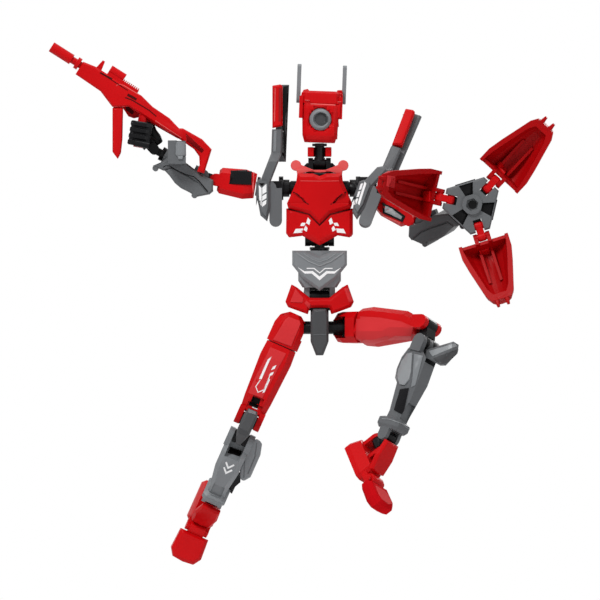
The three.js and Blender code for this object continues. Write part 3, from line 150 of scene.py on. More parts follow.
# Moulded plastic: a faint mottle in the colour, a fine grain in the gloss and softly broken edges
def mouldedPlastic(name, look):
    material, tree, shader = newMaterial(name)
    coords = tree.nodes.new("ShaderNodeTexCoord")
    _, mottleSpread = addNoise(tree, coords, look["mottleScale"], finishSetup["mottleDetail"], 0, 1)
    colours = tree.nodes.new("ShaderNodeMix")
    colours.data_type = "RGBA"
    colours.inputs["A"].default_value = look["colour"]
    colours.inputs["B"].default_value = look["shade"]
    tree.links.new(mottleSpread.outputs["Result"], colours.inputs["Factor"])
    tree.links.new(colours.outputs["Result"], shader.inputs["Base Color"])
    grain, grainSpread = addNoise(tree, coords, look["grainScale"], finishSetup["grainDetail"],
                                  *look["roughness"])
    tree.links.new(grainSpread.outputs["Result"], shader.inputs["Roughness"])
    soft = tree.nodes.new("ShaderNodeBevel")
    soft.samples = finishSetup["bevelSamples"]
    soft.inputs["Radius"].default_value = look["edge"]
    bump = tree.nodes.new("ShaderNodeBump")
    bump.inputs["Strength"].default_value = look["grainStrength"]
    bump.inputs["Distance"].default_value = look["grainDepth"]
    tree.links.new(grain.outputs["Fac"], bump.inputs["Height"])
    tree.links.new(soft.outputs["Normal"], bump.inputs["Normal"])
    tree.links.new(bump.outputs["Normal"], shader.inputs["Normal"])
    shader.inputs["Specular IOR Level"].default_value = look["specular"]
    return material


materials = {name: mouldedPlastic(name, look) for name, look in plasticLooks.items()}
slotLooks = {"red_shell": "redPlastic", "grey_armour": "greyPlastic", "black_frame": "blackPlastic"}
nodeLooks = {  # where a piece differs from its slot
    # the collar is red with painted highlight all over
    "collar": "paleRedPlastic", "abdomen_shell": "midGreyPlastic", "eye_ring": "midGreyPlastic",
    "ear_blade_right": "midGreyPlastic", "ear_blade_left": "midGreyPlastic",
    "shin_shell_right": "midGreyPlastic", "forearm_shell_left": "darkGreyPlastic",
    "groin_guard": "darkGreyPlastic", "kneecap_right": "darkGreyPlastic", "toe_left": "dullRedPlastic",
    "claw_petal_1": "petalRedPlastic", "claw_petal_2": "petalRedPlastic", "claw_petal_3": "petalRedPlastic",
}
print("materials ready")


# Rounded copies of the solids: merged, flattened to whole facets and given small real edge rounds
edgeRounds = {"red_shell": 0.22, "grey_armour": 0.2, "black_frame": 0.16}
roundSetup = {"mergeWithin": 0.0005, "flatWithin": 1, "sharpFrom": 14, "segments": 2}
shells = {}


def roundShell(name):
    look = nodeLooks.get(name, slotLooks[slotOf[name]])
    pick(nodes[name])
    bpy.ops.object.duplicate()
    shell = bpy.context.object
    shell.name = name + "_finished"
    del shell["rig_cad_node"]
    pick(shell)
    bpy.ops.object.mode_set(mode="EDIT")
    bpy.ops.mesh.select_all(action="SELECT")
    bpy.ops.mesh.remove_doubles(threshold=roundSetup["mergeWithin"] * mm)
    bpy.ops.mesh.dissolve_limited(angle_limit=math.radians(roundSetup["flatWithin"]))
    bpy.ops.object.mode_set(mode="OBJECT")
    edges = shell.modifiers.new("edges", "BEVEL")
    edges.width = edgeRounds[slotOf[name]] * mm
    edges.segments = roundSetup["segments"]
    edges.limit_method = "ANGLE"
    edges.angle_limit = math.radians(roundSetup["sharpFrom"])
    edges.use_clamp_overlap = True
    edges.harden_normals = True
    applyAll(shell)
    bpy.ops.object.shade_smooth_by_angle(angle=math.radians(roundSetup["sharpFrom"]))
    shell.data.materials.clear()
    shell.data.materials.append(materials[look])
    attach(shell, bodyOf[name])
    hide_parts(name)
    shells[name] = shell


for name in sorted(nodes):
    roundShell(name)
print("solids finished", len(shells))


# Added pieces: drawn on the front plane in millimetres, then laid onto a shell or given two depths
plateSetup = {"drawnAt": 150, "sunk": 0.12, "height": 0.06, "step": 0.9, "mitreLimit": 0.4}
slabSetup = {"edge": 0.15}
rimSetup = {"segments": 2, "sharpFrom": 40, "smoothTo": 25}


def addRim(piece, width):
    rim = piece.modifiers.new("rim", "BEVEL")
    rim.width = width * mm
    rim.segments = rimSetup["segments"]
    rim.limit_method = "ANGLE"
    rim.angle_limit = math.radians(rimSetup["sharpFrom"])


def drawOutline(name, outline):
    drawing = bpy.data.curves.new(name, "CURVE")
    drawing.dimensions = "2D"
    drawing.fill_mode = "BOTH"
    line = drawing.splines.new("POLY")
    line.points.add(len(outline) - 1)
    for point, (x, z) in zip(line.points, outline):
        point.co = (x * mm, z * mm, 0, 1)
    line.use_cyclic_u = True
    plate = bpy.data.objects.new(name, drawing)
    bpy.context.scene.collection.objects.link(plate)
    pick(plate)
    bpy.ops.object.convert(target="MESH")
    plate = bpy.context.object
    plate.rotation_euler = (math.pi / 2, 0, 0)
    turn = plate.rotation_euler.to_matrix()
    plate.location = turn @ Vector((0, 0, plateSetup["drawnAt"] * mm))
    applyPlace(plate)
    return plate, turn @ Vector((0, 0, 1))


# Cuts across and up the drawing, so that the plate can follow the facets under it
def cutGrid(plate, facing, step):
    pick(plate)
    bpy.ops.object.mode_set(mode="EDIT")
    up = Vector((0, 0, 1))
    for axis in (facing.cross(up), up):
        along = [point.co.dot(axis) for point in plate.data.vertices]
        place = min(along) + step * mm / 2
        while place < max(along):
            bpy.ops.mesh.select_all(action="SELECT")
            bpy.ops.mesh.bisect(plane_co=axis * place, plane_no=axis)
            place += step * mm
    bpy.ops.object.mode_set(mode="OBJECT")


# Corners that the projection missed are still on the drawing's plane
def dropMissed(plate, facing):
    mesh = bmesh.new()
    mesh.from_mesh(plate.data)
    missed = [point for point in mesh.verts if abs(point.co.dot(facing) - plateSetup["drawnAt"] * mm) < mm]
    bmesh.ops.delete(mesh, geom=missed, context="VERTS")
    mesh.to_mesh(plate.data)
    mesh.free()


def finishPiece(piece, look, body):
    applyAll(piece)
    bpy.ops.object.shade_smooth_by_angle(angle=math.radians(rimSetup["smoothTo"]))
    piece.data.materials.append(materials[look])
    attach(piece, body)
    shells[piece.name] = piece
    bodyOf[piece.name] = body
    return piece


# A thin plate or print that follows the shell under it
def layPlate(name, on, outline, look, height=plateSetup["height"], step=plateSetup["step"], edge=0):
    plate, facing = drawOutline(name, outline)
    cutGrid(plate, facing, step)
    lay = plate.modifiers.new("lay", "SHRINKWRAP")
    lay.target = shells[on]
    lay.wrap_method = "PROJECT"
    lay.use_project_y = True
    applyAll(plate)
    dropMissed(plate, facing)
    thick = plate.modifiers.new("thick", "SOLIDIFY")
    thick.thickness = (height + plateSetup["sunk"]) * mm
    thick.offset = 1
    plate.data.transform(Matrix.Translation(-facing * plateSetup["sunk"] * mm))
    if edge:
        addRim(plate, edge)
    return finishPiece(plate, look, bodyOf[on])


# A solid slab between two depths, for backing plates and built-up blocks
def makeSlab(name, body, outline, depths, look, edge=slabSetup["edge"]):
    near, far = depths
    block, _ = drawOutline(name, outline)
    block.data.transform(Matrix.Translation((0, (near + plateSetup["drawnAt"]) * mm, 0)))
    thick = block.modifiers.new("thick", "SOLIDIFY")
    thick.thickness = (far - near) * mm
    thick.offset = -1
    addRim(block, edge)
    return finishPiece(block, look, body)


# The outline of a band of even width along a line
def band(line, width):
    half = width / 2
    sides = ([], [])
    for place, (x, z) in enumerate(line):
        before = Vector(line[max(place - 1, 0)])
        after = Vector(line[min(place + 1, len(line) - 1)])
        here = Vector((x, z))
        steps = [(b - a).normalized() for a, b in ((before, here), (here, after)) if (b - a).length > 0]
        mitre = sum(steps, Vector((0, 0))).normalized()
        reach = half / max(mitre.dot(steps[0]), plateSetup["mitreLimit"])
        out = Vector((-mitre.y, mitre.x)) * reach
        sides[0].append(tuple(here + out))
        sides[1].append(tuple(here - out))
    return sides[0] + sides[1][::-1]


def circle(middle, radius, sides):
    turns = [2 * math.pi * side / sides for side in range(sides)]
    return [(middle[0] + radius * math.cos(turn), middle[1] + radius * math.sin(turn)) for turn in turns]


def mirrored(outline):
    return [(-x, z) for x, z in outline][::-1]


def layPlates(plates):
    for name, plate in plates.items():
        outline = band(plate["line"], plate["width"]) if "line" in plate else plate["outline"]
        sizes = {key: plate[key] for key in ("height", "edge", "step") if key in plate}
        layPlate(name, plate["on"], outline, plate["look"], **sizes)


def makeSlabs(slabs):
    for name, block in slabs.items():
        makeSlab(name, **block)


# Hinge pins: a rounded pin through each hinge, seen in the slits between its lugs
pinSetup = {  # radius and length
    "neck_nod": (1.5, 6.2), "waist_bend": (1.7, 8), "pelvis_tilt": (1.7, 8.4),
    "shoulder_swing_right": (2, 12.6), "shoulder_swing_left": (2, 12.6),
    "elbow_upper": (1.7, 6), "elbow_lower": (1.7, 6), "wrist_bend": (1.4, 4.8),
    "hip_swing": (1.85, 11), "hip_splay": (1.9, 8.8), "knee_upper": (2, 7.2), "knee_lower": (2, 7.2),
    "ankle_pitch": (1.6, 5.6), "toe_bend": (1.9, 5.2),
    "claw_link_turn": (1.15, 4.4), "claw_petal_turn": (1.15, 4.4),
}
pinShift = {"shoulder_swing_right": 4.2, "shoulder_swing_left": -4.2,
            "hip_swing_right": 3.4, "hip_swing_left": -3.4}
coreSetup = {  # radius, length and shift of the black drums between two turning pieces
    "thigh_twist_right": (4.5, 1.6, -6.05), "head_turn": (1.45, 4.4, -2.4), "waist_twist": (2.9, 1.5, 0),
    "wrist_turn_right": (2.1, 1.5, 0), "wrist_turn_left": (2.1, 1.5, 0),
}
barSetup = {"sides": 32, "rim": 0.2, "capShare": 0.45, "dimpleInset": 0.15, "dimpleDepth": 0.25,
            "smoothTo": 30, "endFacing": 0.9}


def roundBar(name, joint, shift, radius, length, look):
    bpy.ops.mesh.primitive_cylinder_add(vertices=barSetup["sides"], radius=radius * mm, depth=length * mm)
    bar = bpy.context.object
    bar.name = name
    pick(bar)
    bpy.ops.object.mode_set(mode="EDIT")
    bpy.ops.mesh.select_all(action="DESELECT")
    bpy.ops.object.mode_set(mode="OBJECT")
    for face in bar.data.polygons:
        face.select = abs(face.normal.z) > barSetup["endFacing"]
    bpy.ops.object.mode_set(mode="EDIT")
    bpy.ops.mesh.select_mode(type="FACE")
    bpy.ops.mesh.inset(thickness=radius * barSetup["capShare"] * mm, depth=0)
    bpy.ops.mesh.inset(thickness=barSetup["dimpleInset"] * mm, depth=-barSetup["dimpleDepth"] * mm)
    bpy.ops.object.mode_set(mode="OBJECT")
    addRim(bar, barSetup["rim"])
    applyAll(bar)
    bpy.ops.object.shade_smooth_by_angle(angle=math.radians(barSetup["smoothTo"]))
    axis = Vector(joint["axis"]).normalized()
    bar.rotation_mode = "QUATERNION"
    bar.rotation_quaternion = axis.to_track_quat("Z", "Y")
    bar.location = Vector(joint["pos_m"]) + axis * shift * mm
    applyPlace(bar)
    bar.data.materials.append(materials[look])
    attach(bar, joint["parent"])


# One entry serves both sides, and all three arms of the claw
for name, joint in joints.items():
    key = name if name in pinSetup else name.replace("_right", "").replace("_left", "").rstrip("_123")
    if key in pinSetup:
        look = "redPlastic" if name.startswith(("claw", "toe")) else "blackPlastic"
        roundBar(name + "_pin", joint, pinShift.get(name, 0), *pinSetup[key], look)
for name, (radius, length, shift) in coreSetup.items():
    roundBar(name + "_core", joints[name], shift, radius, length, "blackPlastic")
print("pins ready")

# Head: a stepped face panel below the brow with its rims in painted highlight, the eye's lens and two small
# horns
headPlates = {
    "face_panel": {
        "on": "head_shell", "look": "redPlastic", "height": 0.45, "edge": 0.22,
        "outline": [(-4.4, 32.1), (-3.1, 32), (-2.9, 31), (5.1, 30.6), (5.3, 31.6), (6.5, 31.4),
                    (5.8, 21.1), (5.6, 20), (-4.6, 20.4), (-4.7, 21.7)],
    },
    "brow_rim": {
        "on": "head_shell", "look": "paleRedPlastic", "height": 0.5, "width": 0.22,
        "line": [(-2.6, 31.2), (4.9, 30.9)],
    },
    "brow_rim_right": {
        "on": "head_shell", "look": "paleRedPlastic", "height": 0.5, "width": 0.22,
        "line": [(-4.4, 32.2), (-3.1, 32.1)],
    },
    "brow_rim_left": {
        "on": "head_shell", "look": "paleRedPlastic", "height": 0.5, "width": 0.22,
        "line": [(5.4, 31.7), (6.6, 31.7)],
    },
    "brow_line": {
        "on": "face_panel", "look": "paleRedPlastic", "height": 0.1, "edge": 0.03, "width": 0.3,
        "line": [(-2.9, 31), (4.9, 30.6)],
    },
}
eyeSetup = {"middle": (0.65, 26.4), "radius": 2.1, "sides": 32, "height": 0.1, "step": 0.6, "edge": 0.04}
headSlabs = {
    "horn_right": {
        "body": "head", "look": "redPlastic", "depths": (-10, -6), "edge": 0.2,
        "outline": [(-5.9, 33.5), (-5, 35.5), (-3.6, 35.8), (-2.8, 34.7), (-5.1, 33.2)],
    },
    "horn_left": {
        "body": "head", "look": "redPlastic", "depths": (-10, -6), "edge": 0.2,
        "outline": [(5.1, 34.4), (5.5, 35.4), (7, 35.4), (7.3, 33.2), (6.5, 32.9)],
    },
}
layPlates(headPlates)
layPlate("eye_lens", "eye_ring", circle(eyeSetup["middle"], eyeSetup["radius"], eyeSetup["sides"]),
         "darkGreyPlastic", eyeSetup["height"], eyeSetup["step"], eyeSetup["edge"])
makeSlabs(headSlabs)
print("head dressed")

# Neck and collar: a black wedge behind the neck hinge and the collar's triangular webs, red with painted
# highlight
neckSlabs = {
    "neck_wedge": {
        "body": "torso", "look": "blackPlastic", "depths": (-4.6, -3.6),
        "outline": [(-5.3, 11.6), (-3.9, 13), (-2.5, 12.8), (-1.1, 13.2), (1.1, 13.2), (2.6, 12.8), (4, 13),
                    (5.4, 11.6), (4.2, 9.9), (-4.2, 9.9)],
    },
}
webSetup = {"outline": [(-6.9, 9.2), (-7.2, 10.8), (-5.3, 11.3), (-1.8, 10.6)], "depths": (-13.9, -12.4),
            "edge": 0.12}
makeSlabs(neckSlabs)
for side, outline in {"right": webSetup["outline"], "left": mirrored(webSetup["outline"])}.items():
    makeSlab("collar_web_" + side, "torso", outline, webSetup["depths"], "paleRedPlastic", webSetup["edge"])

# Chest: a stepped lower plate, grooves and recesses in painted shade, a ridge in painted highlight and
# slanted white bars
chestPlates = {
    "chest_lower_plate": {
        "on": "chest_plate", "look": "redPlastic", "height": 0.4, "edge": 0.18,
        "outline": [(-9.9, -1.9), (-3.3, -3.5), (0, -6.8), (3.3, -3.5), (10.3, -1.9), (10.4, -8.4),
                    (9.5, -9.7), (5.5, -9.2), (0, -12.2), (-5.2, -9.3), (-9.3, -9.8), (-10, -8.7)],
    },
    "chest_groove": {
        "on": "chest_plate", "look": "redSeam", "height": 0.05, "width": 0.42,
        "line": [(-10, -1.4), (-3.3, -3), (0, -6.3), (3.3, -3), (10.4, -1.4)],
    },
    "chest_ridge": {
        "on": "chest_plate", "look": "paleRedPlastic", "height": 0.04, "width": 0.18,
        "line": [(-6, 7.3), (0, 7.2), (6, 7.3)],
    },
}
recessSetup = {"line": [(-8.1, 3.8), (-6.9, 3.2), (-5.7, 2.3), (-5, 1.1), (-3.4, 0)], "width": 0.34,
               "height": 0.05}
chestBars = {
    "a": [(-3.6, -4), (-2.8, -4.9), (-3.2, -6.3), (-4.2, -5.7)],
    "b": [(-5.5, -5.6), (-4.3, -5.7), (-4.7, -6.6), (-6, -6.6)],
    "c": [(-4.3, -6.5), (-3.7, -7.3), (-4, -8.4), (-5, -7.8)],
    "d": [(-7.4, -7.5), (-5.1, -7.4), (-5.4, -8.6), (-8.1, -8.9)],
}
layPlates(chestPlates)
for side, line in {"right": recessSetup["line"], "left": mirrored(recessSetup["line"])}.items():
    layPlate("chest_recess_" + side, "chest_plate", band(line, recessSetup["width"]), "redSeam",
             height=recessSetup["height"])
for key, bar in chestBars.items():
    layPlate("chest_bar_right_" + key, "chest_lower_plate", bar, "whiteInk")
    layPlate("chest_bar_left_" + key, "chest_lower_plate", mirrored(bar), "whiteInk")
print("chest dressed")

# Waist and abdomen: black cores behind the hinges, two V ribs in painted highlight below the top edge and a
# double V in white
waistSlabs = {
    "waist_core": {
        "body": "torso", "look": "blackPlastic", "depths": (-4.6, -3.6),
        "outline": [(-4.3, -8.4), (4.3, -8.4), (4.3, -10.7), (-4.3, -10.7)],
    },
    "pelvis_gap_core": {
        "body": "abdomen", "look": "blackPlastic", "depths": (-8, -7),
        "outline": [(-3.6, -24.2), (3.6, -24.2), (3.6, -26.4), (-3.6, -26.4)],
    },
}
abdomenPlates = {
    "abdomen_rib": {
        "on": "abdomen_shell", "look": "paleGreyPlastic", "height": 0.22, "edge": 0.08, "width": 0.4,
        "line": [(-7.1, -14.9), (-3.4, -17.5), (0, -18.9), (3.5, -17.5), (7.3, -14.9)],
    },
    "abdomen_inner_rib": {
        "on": "abdomen_shell", "look": "paleGreyPlastic", "height": 0.16, "edge": 0.06, "width": 0.26,
        "line": [(-4.9, -15.1), (-2.5, -16.8), (0, -17.7), (2.6, -16.8), (5, -15.1)],
    },
    "abdomen_print": {
        "on": "abdomen_shell", "look": "whiteInk", "step": 0.6,
        "outline": [(-6.8, -19.3), (-4.6, -20.6), (-2.1, -20.5), (0, -22.2), (2.1, -20.5), (4.6, -20.6),
                    (6.8, -19.3), (4.6, -21.3), (2.4, -21.3), (0, -23.4), (-2.4, -21.3), (-4.6, -21.3)],
    },
    "abdomen_print_line": {
        "on": "abdomen_shell", "look": "whiteInk", "step": 0.6, "width": 0.3,
        "line": [(-4, -19.7), (-1.7, -19.7), (0, -21.1), (1.7, -19.7), (4, -19.7)],
    },
}
makeSlabs(waistSlabs)
layPlates(abdomenPlates)
print("abdomen dressed")

# Pelvis and hips: black and red cores in the gaps, lit corner facets and the groin guard's fine line
pelvisSlabs = {
    "pelvis_core_plate": {
        "body": "pelvis", "look": "blackPlastic", "depths": (-5, -4),
        "outline": [(-4.9, -26.4), (4.8, -26.4), (4.8, -29.1), (-4.9, -29.1)],
    },
    "hip_core_left": {
        "body": "hip_left", "look": "blackPlastic", "depths": (-6.4, -5.4), "edge": 0.06,
        "outline": [(4.2, -35.6), (7.4, -35.6), (7.4, -40.4), (4.2, -40.4)],
    },
    "thigh_cap_core_right": {
        "body": "thigh_cap_right", "look": "redPlastic", "depths": (-9.2, -8.2), "edge": 0.05,
        "outline": [(-11.9, -35), (-11.3, -33.6), (-10.1, -33.5), (-9.8, -35)],
    },
}
pelvisPlates = {
    "groin_line": {
        "on": "groin_guard", "look": "greyPlastic", "height": 0.08, "width": 0.2,
        "line": [(-2, -40.1), (2, -40.1)],
    },
    "pelvis_facet_right": {
        "on": "pelvis_armor", "look": "softRedPlastic", "height": 0.25, "edge": 0.12,
        "outline": [(-7.5, -26), (-5, -28.9), (-5.3, -30.3), (-9.1, -30.1)],
    },
    "pelvis_facet_left": {
        "on": "pelvis_armor", "look": "softRedPlastic", "height": 0.25, "edge": 0.12,
        "outline": [(7.6, -26), (8.6, -25.6), (10.3, -29.9), (9, -30.1)],
    },
    "pelvis_chip_right": {
        "on": "pelvis_armor", "look": "softRedPlastic", "height": 0.25, "edge": 0.1,
        "outline": [(-4.7, -30.4), (-4.1, -29.6), (-2.9, -30.6), (-3.1, -32.4)],
    },
}
makeSlabs(pelvisSlabs)
layPlates(pelvisPlates)
print("pelvis dressed")

# Shoulder guards: white bars on their pads, the masts' black back and lit strip, and the wings' strips of
# painted highlight and painted shade
padBarsRight = {
    "a": [(-18.8, 6), (-17.9, 5.1), (-17.9, -0.5), (-18.6, 0.6)],
    "b": [(-16.4, 6.4), (-17.7, 5.2), (-17.7, 3), (-16.4, 3.9)],
    "c": [(-16.4, 3.4), (-17.7, 2.6), (-17.7, 1.1), (-16.4, 2)],
    "d": [(-16.4, 1.5), (-17.7, 0.7), (-17.7, -0.8), (-16.5, 0.2)],
}
padBarsLeft = {  # from and to along the pad, from and to across it, and the slant of one end
    "a": (0, 2, -0.62, 0.02, 0.4), "b": (2.5, 4.4, -0.62, 0.02, 0.4), "c": (4.9, 6.8, -0.62, 0.02, 0.4),
    "d": (-0.2, 6.9, 0.3, 1, -0.5),
}
padSetup = {"start": (13.4, 6.5), "along": (-0.305, -0.952), "across": (0.952, -0.305), "step": 0.4}
shoulderPlates = {
    "pad_notch_right": {
        "on": "shoulder_guard_right", "look": "seamShadow", "step": 0.4,
        "outline": [(-18.7, 6.6), (-16.9, 6.6), (-17.8, 5.6)],
    },
    "mast_back_right": {
        "on": "shoulder_guard_right", "look": "blackPlastic", "height": 0.1,
        "outline": [(-11.2, 36.6), (-9.7, 36.8), (-10.6, 13.9), (-11.7, 15.8)],
    },
    "mast_light_right": {
        "on": "shoulder_guard_right", "look": "midGreyPlastic", "width": 0.9,
        "line": [(-13.7, 22.9), (-13.9, 16.4)],
    },
    "wing_light_right": {
        "on": "wing_blade_right", "look": "paleRedPlastic", "width": 0.3,
        "line": [(-13.7, 36), (-13.9, 25.7)],
    },
    "wing_shade_right": {
        "on": "wing_blade_right", "look": "deepRedPlastic", "width": 0.8,
        "line": [(-12.2, 36), (-12.3, 25.7)],
    },
    "wing_shade_left": {
        "on": "wing_blade_left", "look": "deepRedPlastic", "width": 0.7,
        "line": [(25.7, 28.2), (21.8, 18.5)],
    },
}


def leaningBar(low, high, near, far, slant):
    startX, startZ = padSetup["start"]
    alongX, alongZ = padSetup["along"]
    acrossX, acrossZ = padSetup["across"]
    corners = ((low + slant, near), (low, far), (high, far), (high + slant, near))
    return [(startX + alongX * down + acrossX * out, startZ + alongZ * down + acrossZ * out)
            for down, out in corners]


for key, bar in padBarsRight.items():
    layPlate("pad_bar_right_" + key, "shoulder_guard_right", bar, "whiteInk", step=padSetup["step"])
for key, bar in padBarsLeft.items():
    layPlate("pad_bar_left_" + key, "shoulder_guard_left", leaningBar(*bar), "whiteInk",
             step=padSetup["step"])
layPlates(shoulderPlates)
print("shoulders dressed")

# Right arm: black window panel, an end ring in painted highlight, the forearm's curved seam, the wrist pod
# and the palm
rightArmPlates = {
    "arm_panel_right": {
        "on": "upper_arm_shell_right", "look": "blackPlastic", "height": 0.3, "edge": 0.12,
        "outline": [(-27.5, 10.4), (-21.1, 10.5), (-21, 6.1), (-28.1, 6.4)],
    },
    "arm_ring_right": {
        "on": "upper_arm_shell_right", "look": "paleRedPlastic", "height": 0.2, "edge": 0.08, "width": 0.4,
        "line": [(-20.3, 9.8), (-20.5, 2.5)],
    },
    "forearm_seam_right": {
        "on": "forearm_shell_right", "look": "seamShadow", "height": 0.04, "step": 0.6, "width": 0.24,
        "line": [(-48.3, 11.5), (-47.5, 12), (-46.2, 11.9), (-43.8, 10.5), (-41.1, 9.3), (-38.8, 8.6),
                 (-36.8, 6.9), (-34.5, 4.1)],
    },
    "wrist_pod_right": {
        "on": "forearm_shell_right", "look": "midGreyPlastic", "height": 0.5, "edge": 0.3, "step": 0.6,
        "outline": [(-44.2, 19.3), (-41.9, 19.3), (-41.6, 18.3), (-41.6, 15.2), (-42.3, 13.9),
                    (-43.6, 13.9), (-44.4, 15.2), (-44.4, 18.3)],
    },
}
rightHandSlabs = {
    "hand_palm": {
        "body": "hand_right", "look": "blackPlastic", "depths": (-8.4, -6.4), "edge": 0.5,
        "outline": [(-54.2, 26.8), (-52.5, 26.4), (-51.2, 25.1), (-50.4, 23.2), (-49.1, 21.5),
                    (-48.4, 19.5), (-50.4, 18), (-52.5, 19.2), (-53.5, 22.9)],
    },
}
layPlates(rightArmPlates)
makeSlabs(rightHandSlabs)
print("right arm dressed")

# Blaster: the underside block, the magazine's neck, the stock's window with a floor in painted shade,
# seams, openings and slots in painted shade, and ridges in painted highlight
blasterSlabs = {
    "magazine_neck": {
        "body": "hand_right", "look": "redPlastic", "depths": (-8.3, -7),
        "outline": [(-63.8, 31.3), (-61, 31.3), (-61, 29.4), (-63.8, 29.4)],
    },
    "blaster_underside": {
        "body": "hand_right", "look": "redPlastic", "depths": (-9.1, -6.3), "edge": 0.3,
        "outline": [(-62.5, 32.9), (-58.4, 32.2), (-51.9, 27.9), (-43.9, 22.3), (-41.4, 20.3),
                    (-43.9, 20.5), (-49.4, 23.6), (-52.9, 25.7), (-55.3, 27.2), (-57.4, 26.7),
                    (-59.1, 27.3), (-60.5, 29.4), (-61.8, 31)],
    },
    # the window's floor is red with painted shade
    "stock_window_floor": {
        "body": "hand_right", "look": "deepRedPlastic", "depths": (-7.9, -7.3),
        "outline": [(-41.8, 22.5), (-35.2, 17.4), (-36.1, 15.5), (-41.7, 19.3)],
    },
}
blasterPlates = {
    "blaster_guard_opening": {
        "on": "blaster_underside", "look": "redSeam", "height": 0.05,
        "outline": [(-60.1, 30.9), (-59.2, 30.6), (-57.3, 28.7), (-57.9, 27.9), (-59.9, 29.3)],
    },
    "blaster_line_ridge": {
        "on": "blaster_body", "look": "paleRedPlastic", "step": 1.2, "width": 0.24,
        "line": [(-62.8, 36.7), (-61.7, 37.1), (-60.4, 36.6), (-51.3, 31.1)],
    },
    "blaster_line_slot": {
        "on": "blaster_body", "look": "redSeam", "step": 1.2, "width": 0.8,
        "line": [(-59.2, 33.9), (-56.5, 32.4)],
    },
    "blaster_line_side": {
        "on": "blaster_underside", "look": "paleRedPlastic", "step": 1.2, "width": 0.22,
        "line": [(-59.1, 31.7), (-51.3, 27.2)],
    },
    "blaster_line_stock": {
        "on": "blaster_body", "look": "paleRedPlastic", "step": 1.2, "width": 0.24,
        "line": [(-50.7, 25.9), (-42.6, 20.5)],
    },
    "blaster_line_front": {
        "on": "blaster_body", "look": "redSeam", "step": 1.2, "width": 0.5,
        "line": [(-67.7, 40.7), (-64, 38.6)],
    },
    "blaster_line_groove": {
        "on": "blaster_body", "look": "redSeam", "step": 1, "width": 0.32,
        "line": [(-60, 33), (-57.8, 32.2), (-52.5, 29), (-50.4, 27.2)],
    },
    "blaster_line_receiver": {
        "on": "blaster_body", "look": "redSeam", "step": 1, "width": 0.24,
        "line": [(-66.6, 40), (-59.2, 35.2)],
    },
}
makeSlabs(blasterSlabs)
layPlates(blasterPlates)
print("blaster dressed")

# Left arm: the framed window panel with an inset in painted highlight, and its stripe in painted highlight
leftArmPlates = {
    "arm_panel_left": {
        "on": "upper_arm_shell_left", "look": "blackPlastic", "height": 0.2, "edge": 0.1,
        "outline": [(19.4, 0.5), (22.5, -0.7), (26.5, -3.5), (25.7, -5.4), (19.6, -2.6)],
    },
    "arm_inset_left": {
        "on": "arm_panel_left", "look": "paleGreyPlastic", "height": 0.24, "edge": 0.06, "step": 0.5,
        "outline": [(20.2, -0.4), (22.3, -1.2), (25.6, -3.7), (25.2, -4.5), (20.2, -2.2)],
    },
    "arm_stripe_left": {
        "on": "upper_arm_shell_left", "look": "paleRedPlastic", "height": 0.1, "width": 0.35,
        "line": [(19.7, -3.3), (25, -5.7)],
    },
}
layPlates(leftArmPlates)

# Claw hub: dark floors behind its windows, the slots of its spokes and its bore
clawSetup = {
    "window": ((2.4, 0.5), (8, 0.42), (8, -0.42), (2.4, -0.5)),  # reach from the middle, turn in radians
    "windowDepths": (0.3, 0.9),
    "slot": ((-3.6, 1.25), (-0.8, 1.25), (-0.8, -1.25), (-3.6, -1.25)),  # along and across, from the hinge
    "slotDepths": (0.8, 1.4),
    "edge": 0.05,
    "boreShift": 0.15, "boreRadius": 1.3, "boreSides": 16, "boreHeight": 0.08, "boreStep": 0.5,
}
spokeEnds = {n: Vector(joints["claw_link_turn_%d" % n]["pos_m"]) / mm for n in (1, 2, 3)}
hubMiddle = sum(spokeEnds.values(), Vector()) / len(spokeEnds)


def hubDepths(depths):
    return [hubMiddle.y + depth for depth in depths]


for n, hinge in spokeEnds.items():
    spoke = (hinge - hubMiddle).normalized()
    heading = math.atan2(-spoke.z, -spoke.x)
    window = [(hubMiddle.x + math.cos(heading + turn) * reach,
               hubMiddle.z + math.sin(heading + turn) * reach) for reach, turn in clawSetup["window"]]
    makeSlab("claw_window_floor_%d" % n, "hand_left", window, hubDepths(clawSetup["windowDepths"]),
             "blackPlastic", clawSetup["edge"])
    slot = [(hinge.x + spoke.x * along - spoke.z * across, hinge.z + spoke.z * along + spoke.x * across)
            for along, across in clawSetup["slot"]]
    makeSlab("claw_slot_floor_%d" % n, "hand_left", slot, hubDepths(clawSetup["slotDepths"]),
             "blackPlastic", clawSetup["edge"])
boreMiddle = (hubMiddle.x + clawSetup["boreShift"], hubMiddle.z)
layPlate("claw_bore_floor", "claw_hub", circle(boreMiddle, clawSetup["boreRadius"], clawSetup["boreSides"]),
         "blackPlastic", clawSetup["boreHeight"], clawSetup["boreStep"])

# Claw petals: the clip tabs inside their bases and a lit patch on one
petalClips = {
    "claw_petal_1": [(54.2, 11.8), (55.6, 12.9), (57.8, 10.5), (56.6, 9.1)],
    "claw_petal_2": [(48.8, -14.1), (51.9, -13.2), (52.4, -14.6), (49.4, -15.5)],
    "claw_petal_3": [(32.4, 4), (34.3, 3.9), (34.1, 0.6), (32.2, 0.9)],
}
clipSetup = {"height": 0.6, "edge": 0.15, "step": 0.6}
petalPlates = {
    "claw_petal_3_patch": {
        "on": "claw_petal_3", "look": "softRedPlastic", "height": 0.12, "edge": 0.05, "step": 0.6,
        "outline": [(20.6, 8.7), (23.1, 8.2), (22.7, 4.8), (20.3, 5.3)],
    },
}
for petal, clip in petalClips.items():
    layPlate(petal + "_clip", petal, clip, "redPlastic", **clipSetup)
layPlates(petalPlates)
print("left arm dressed")

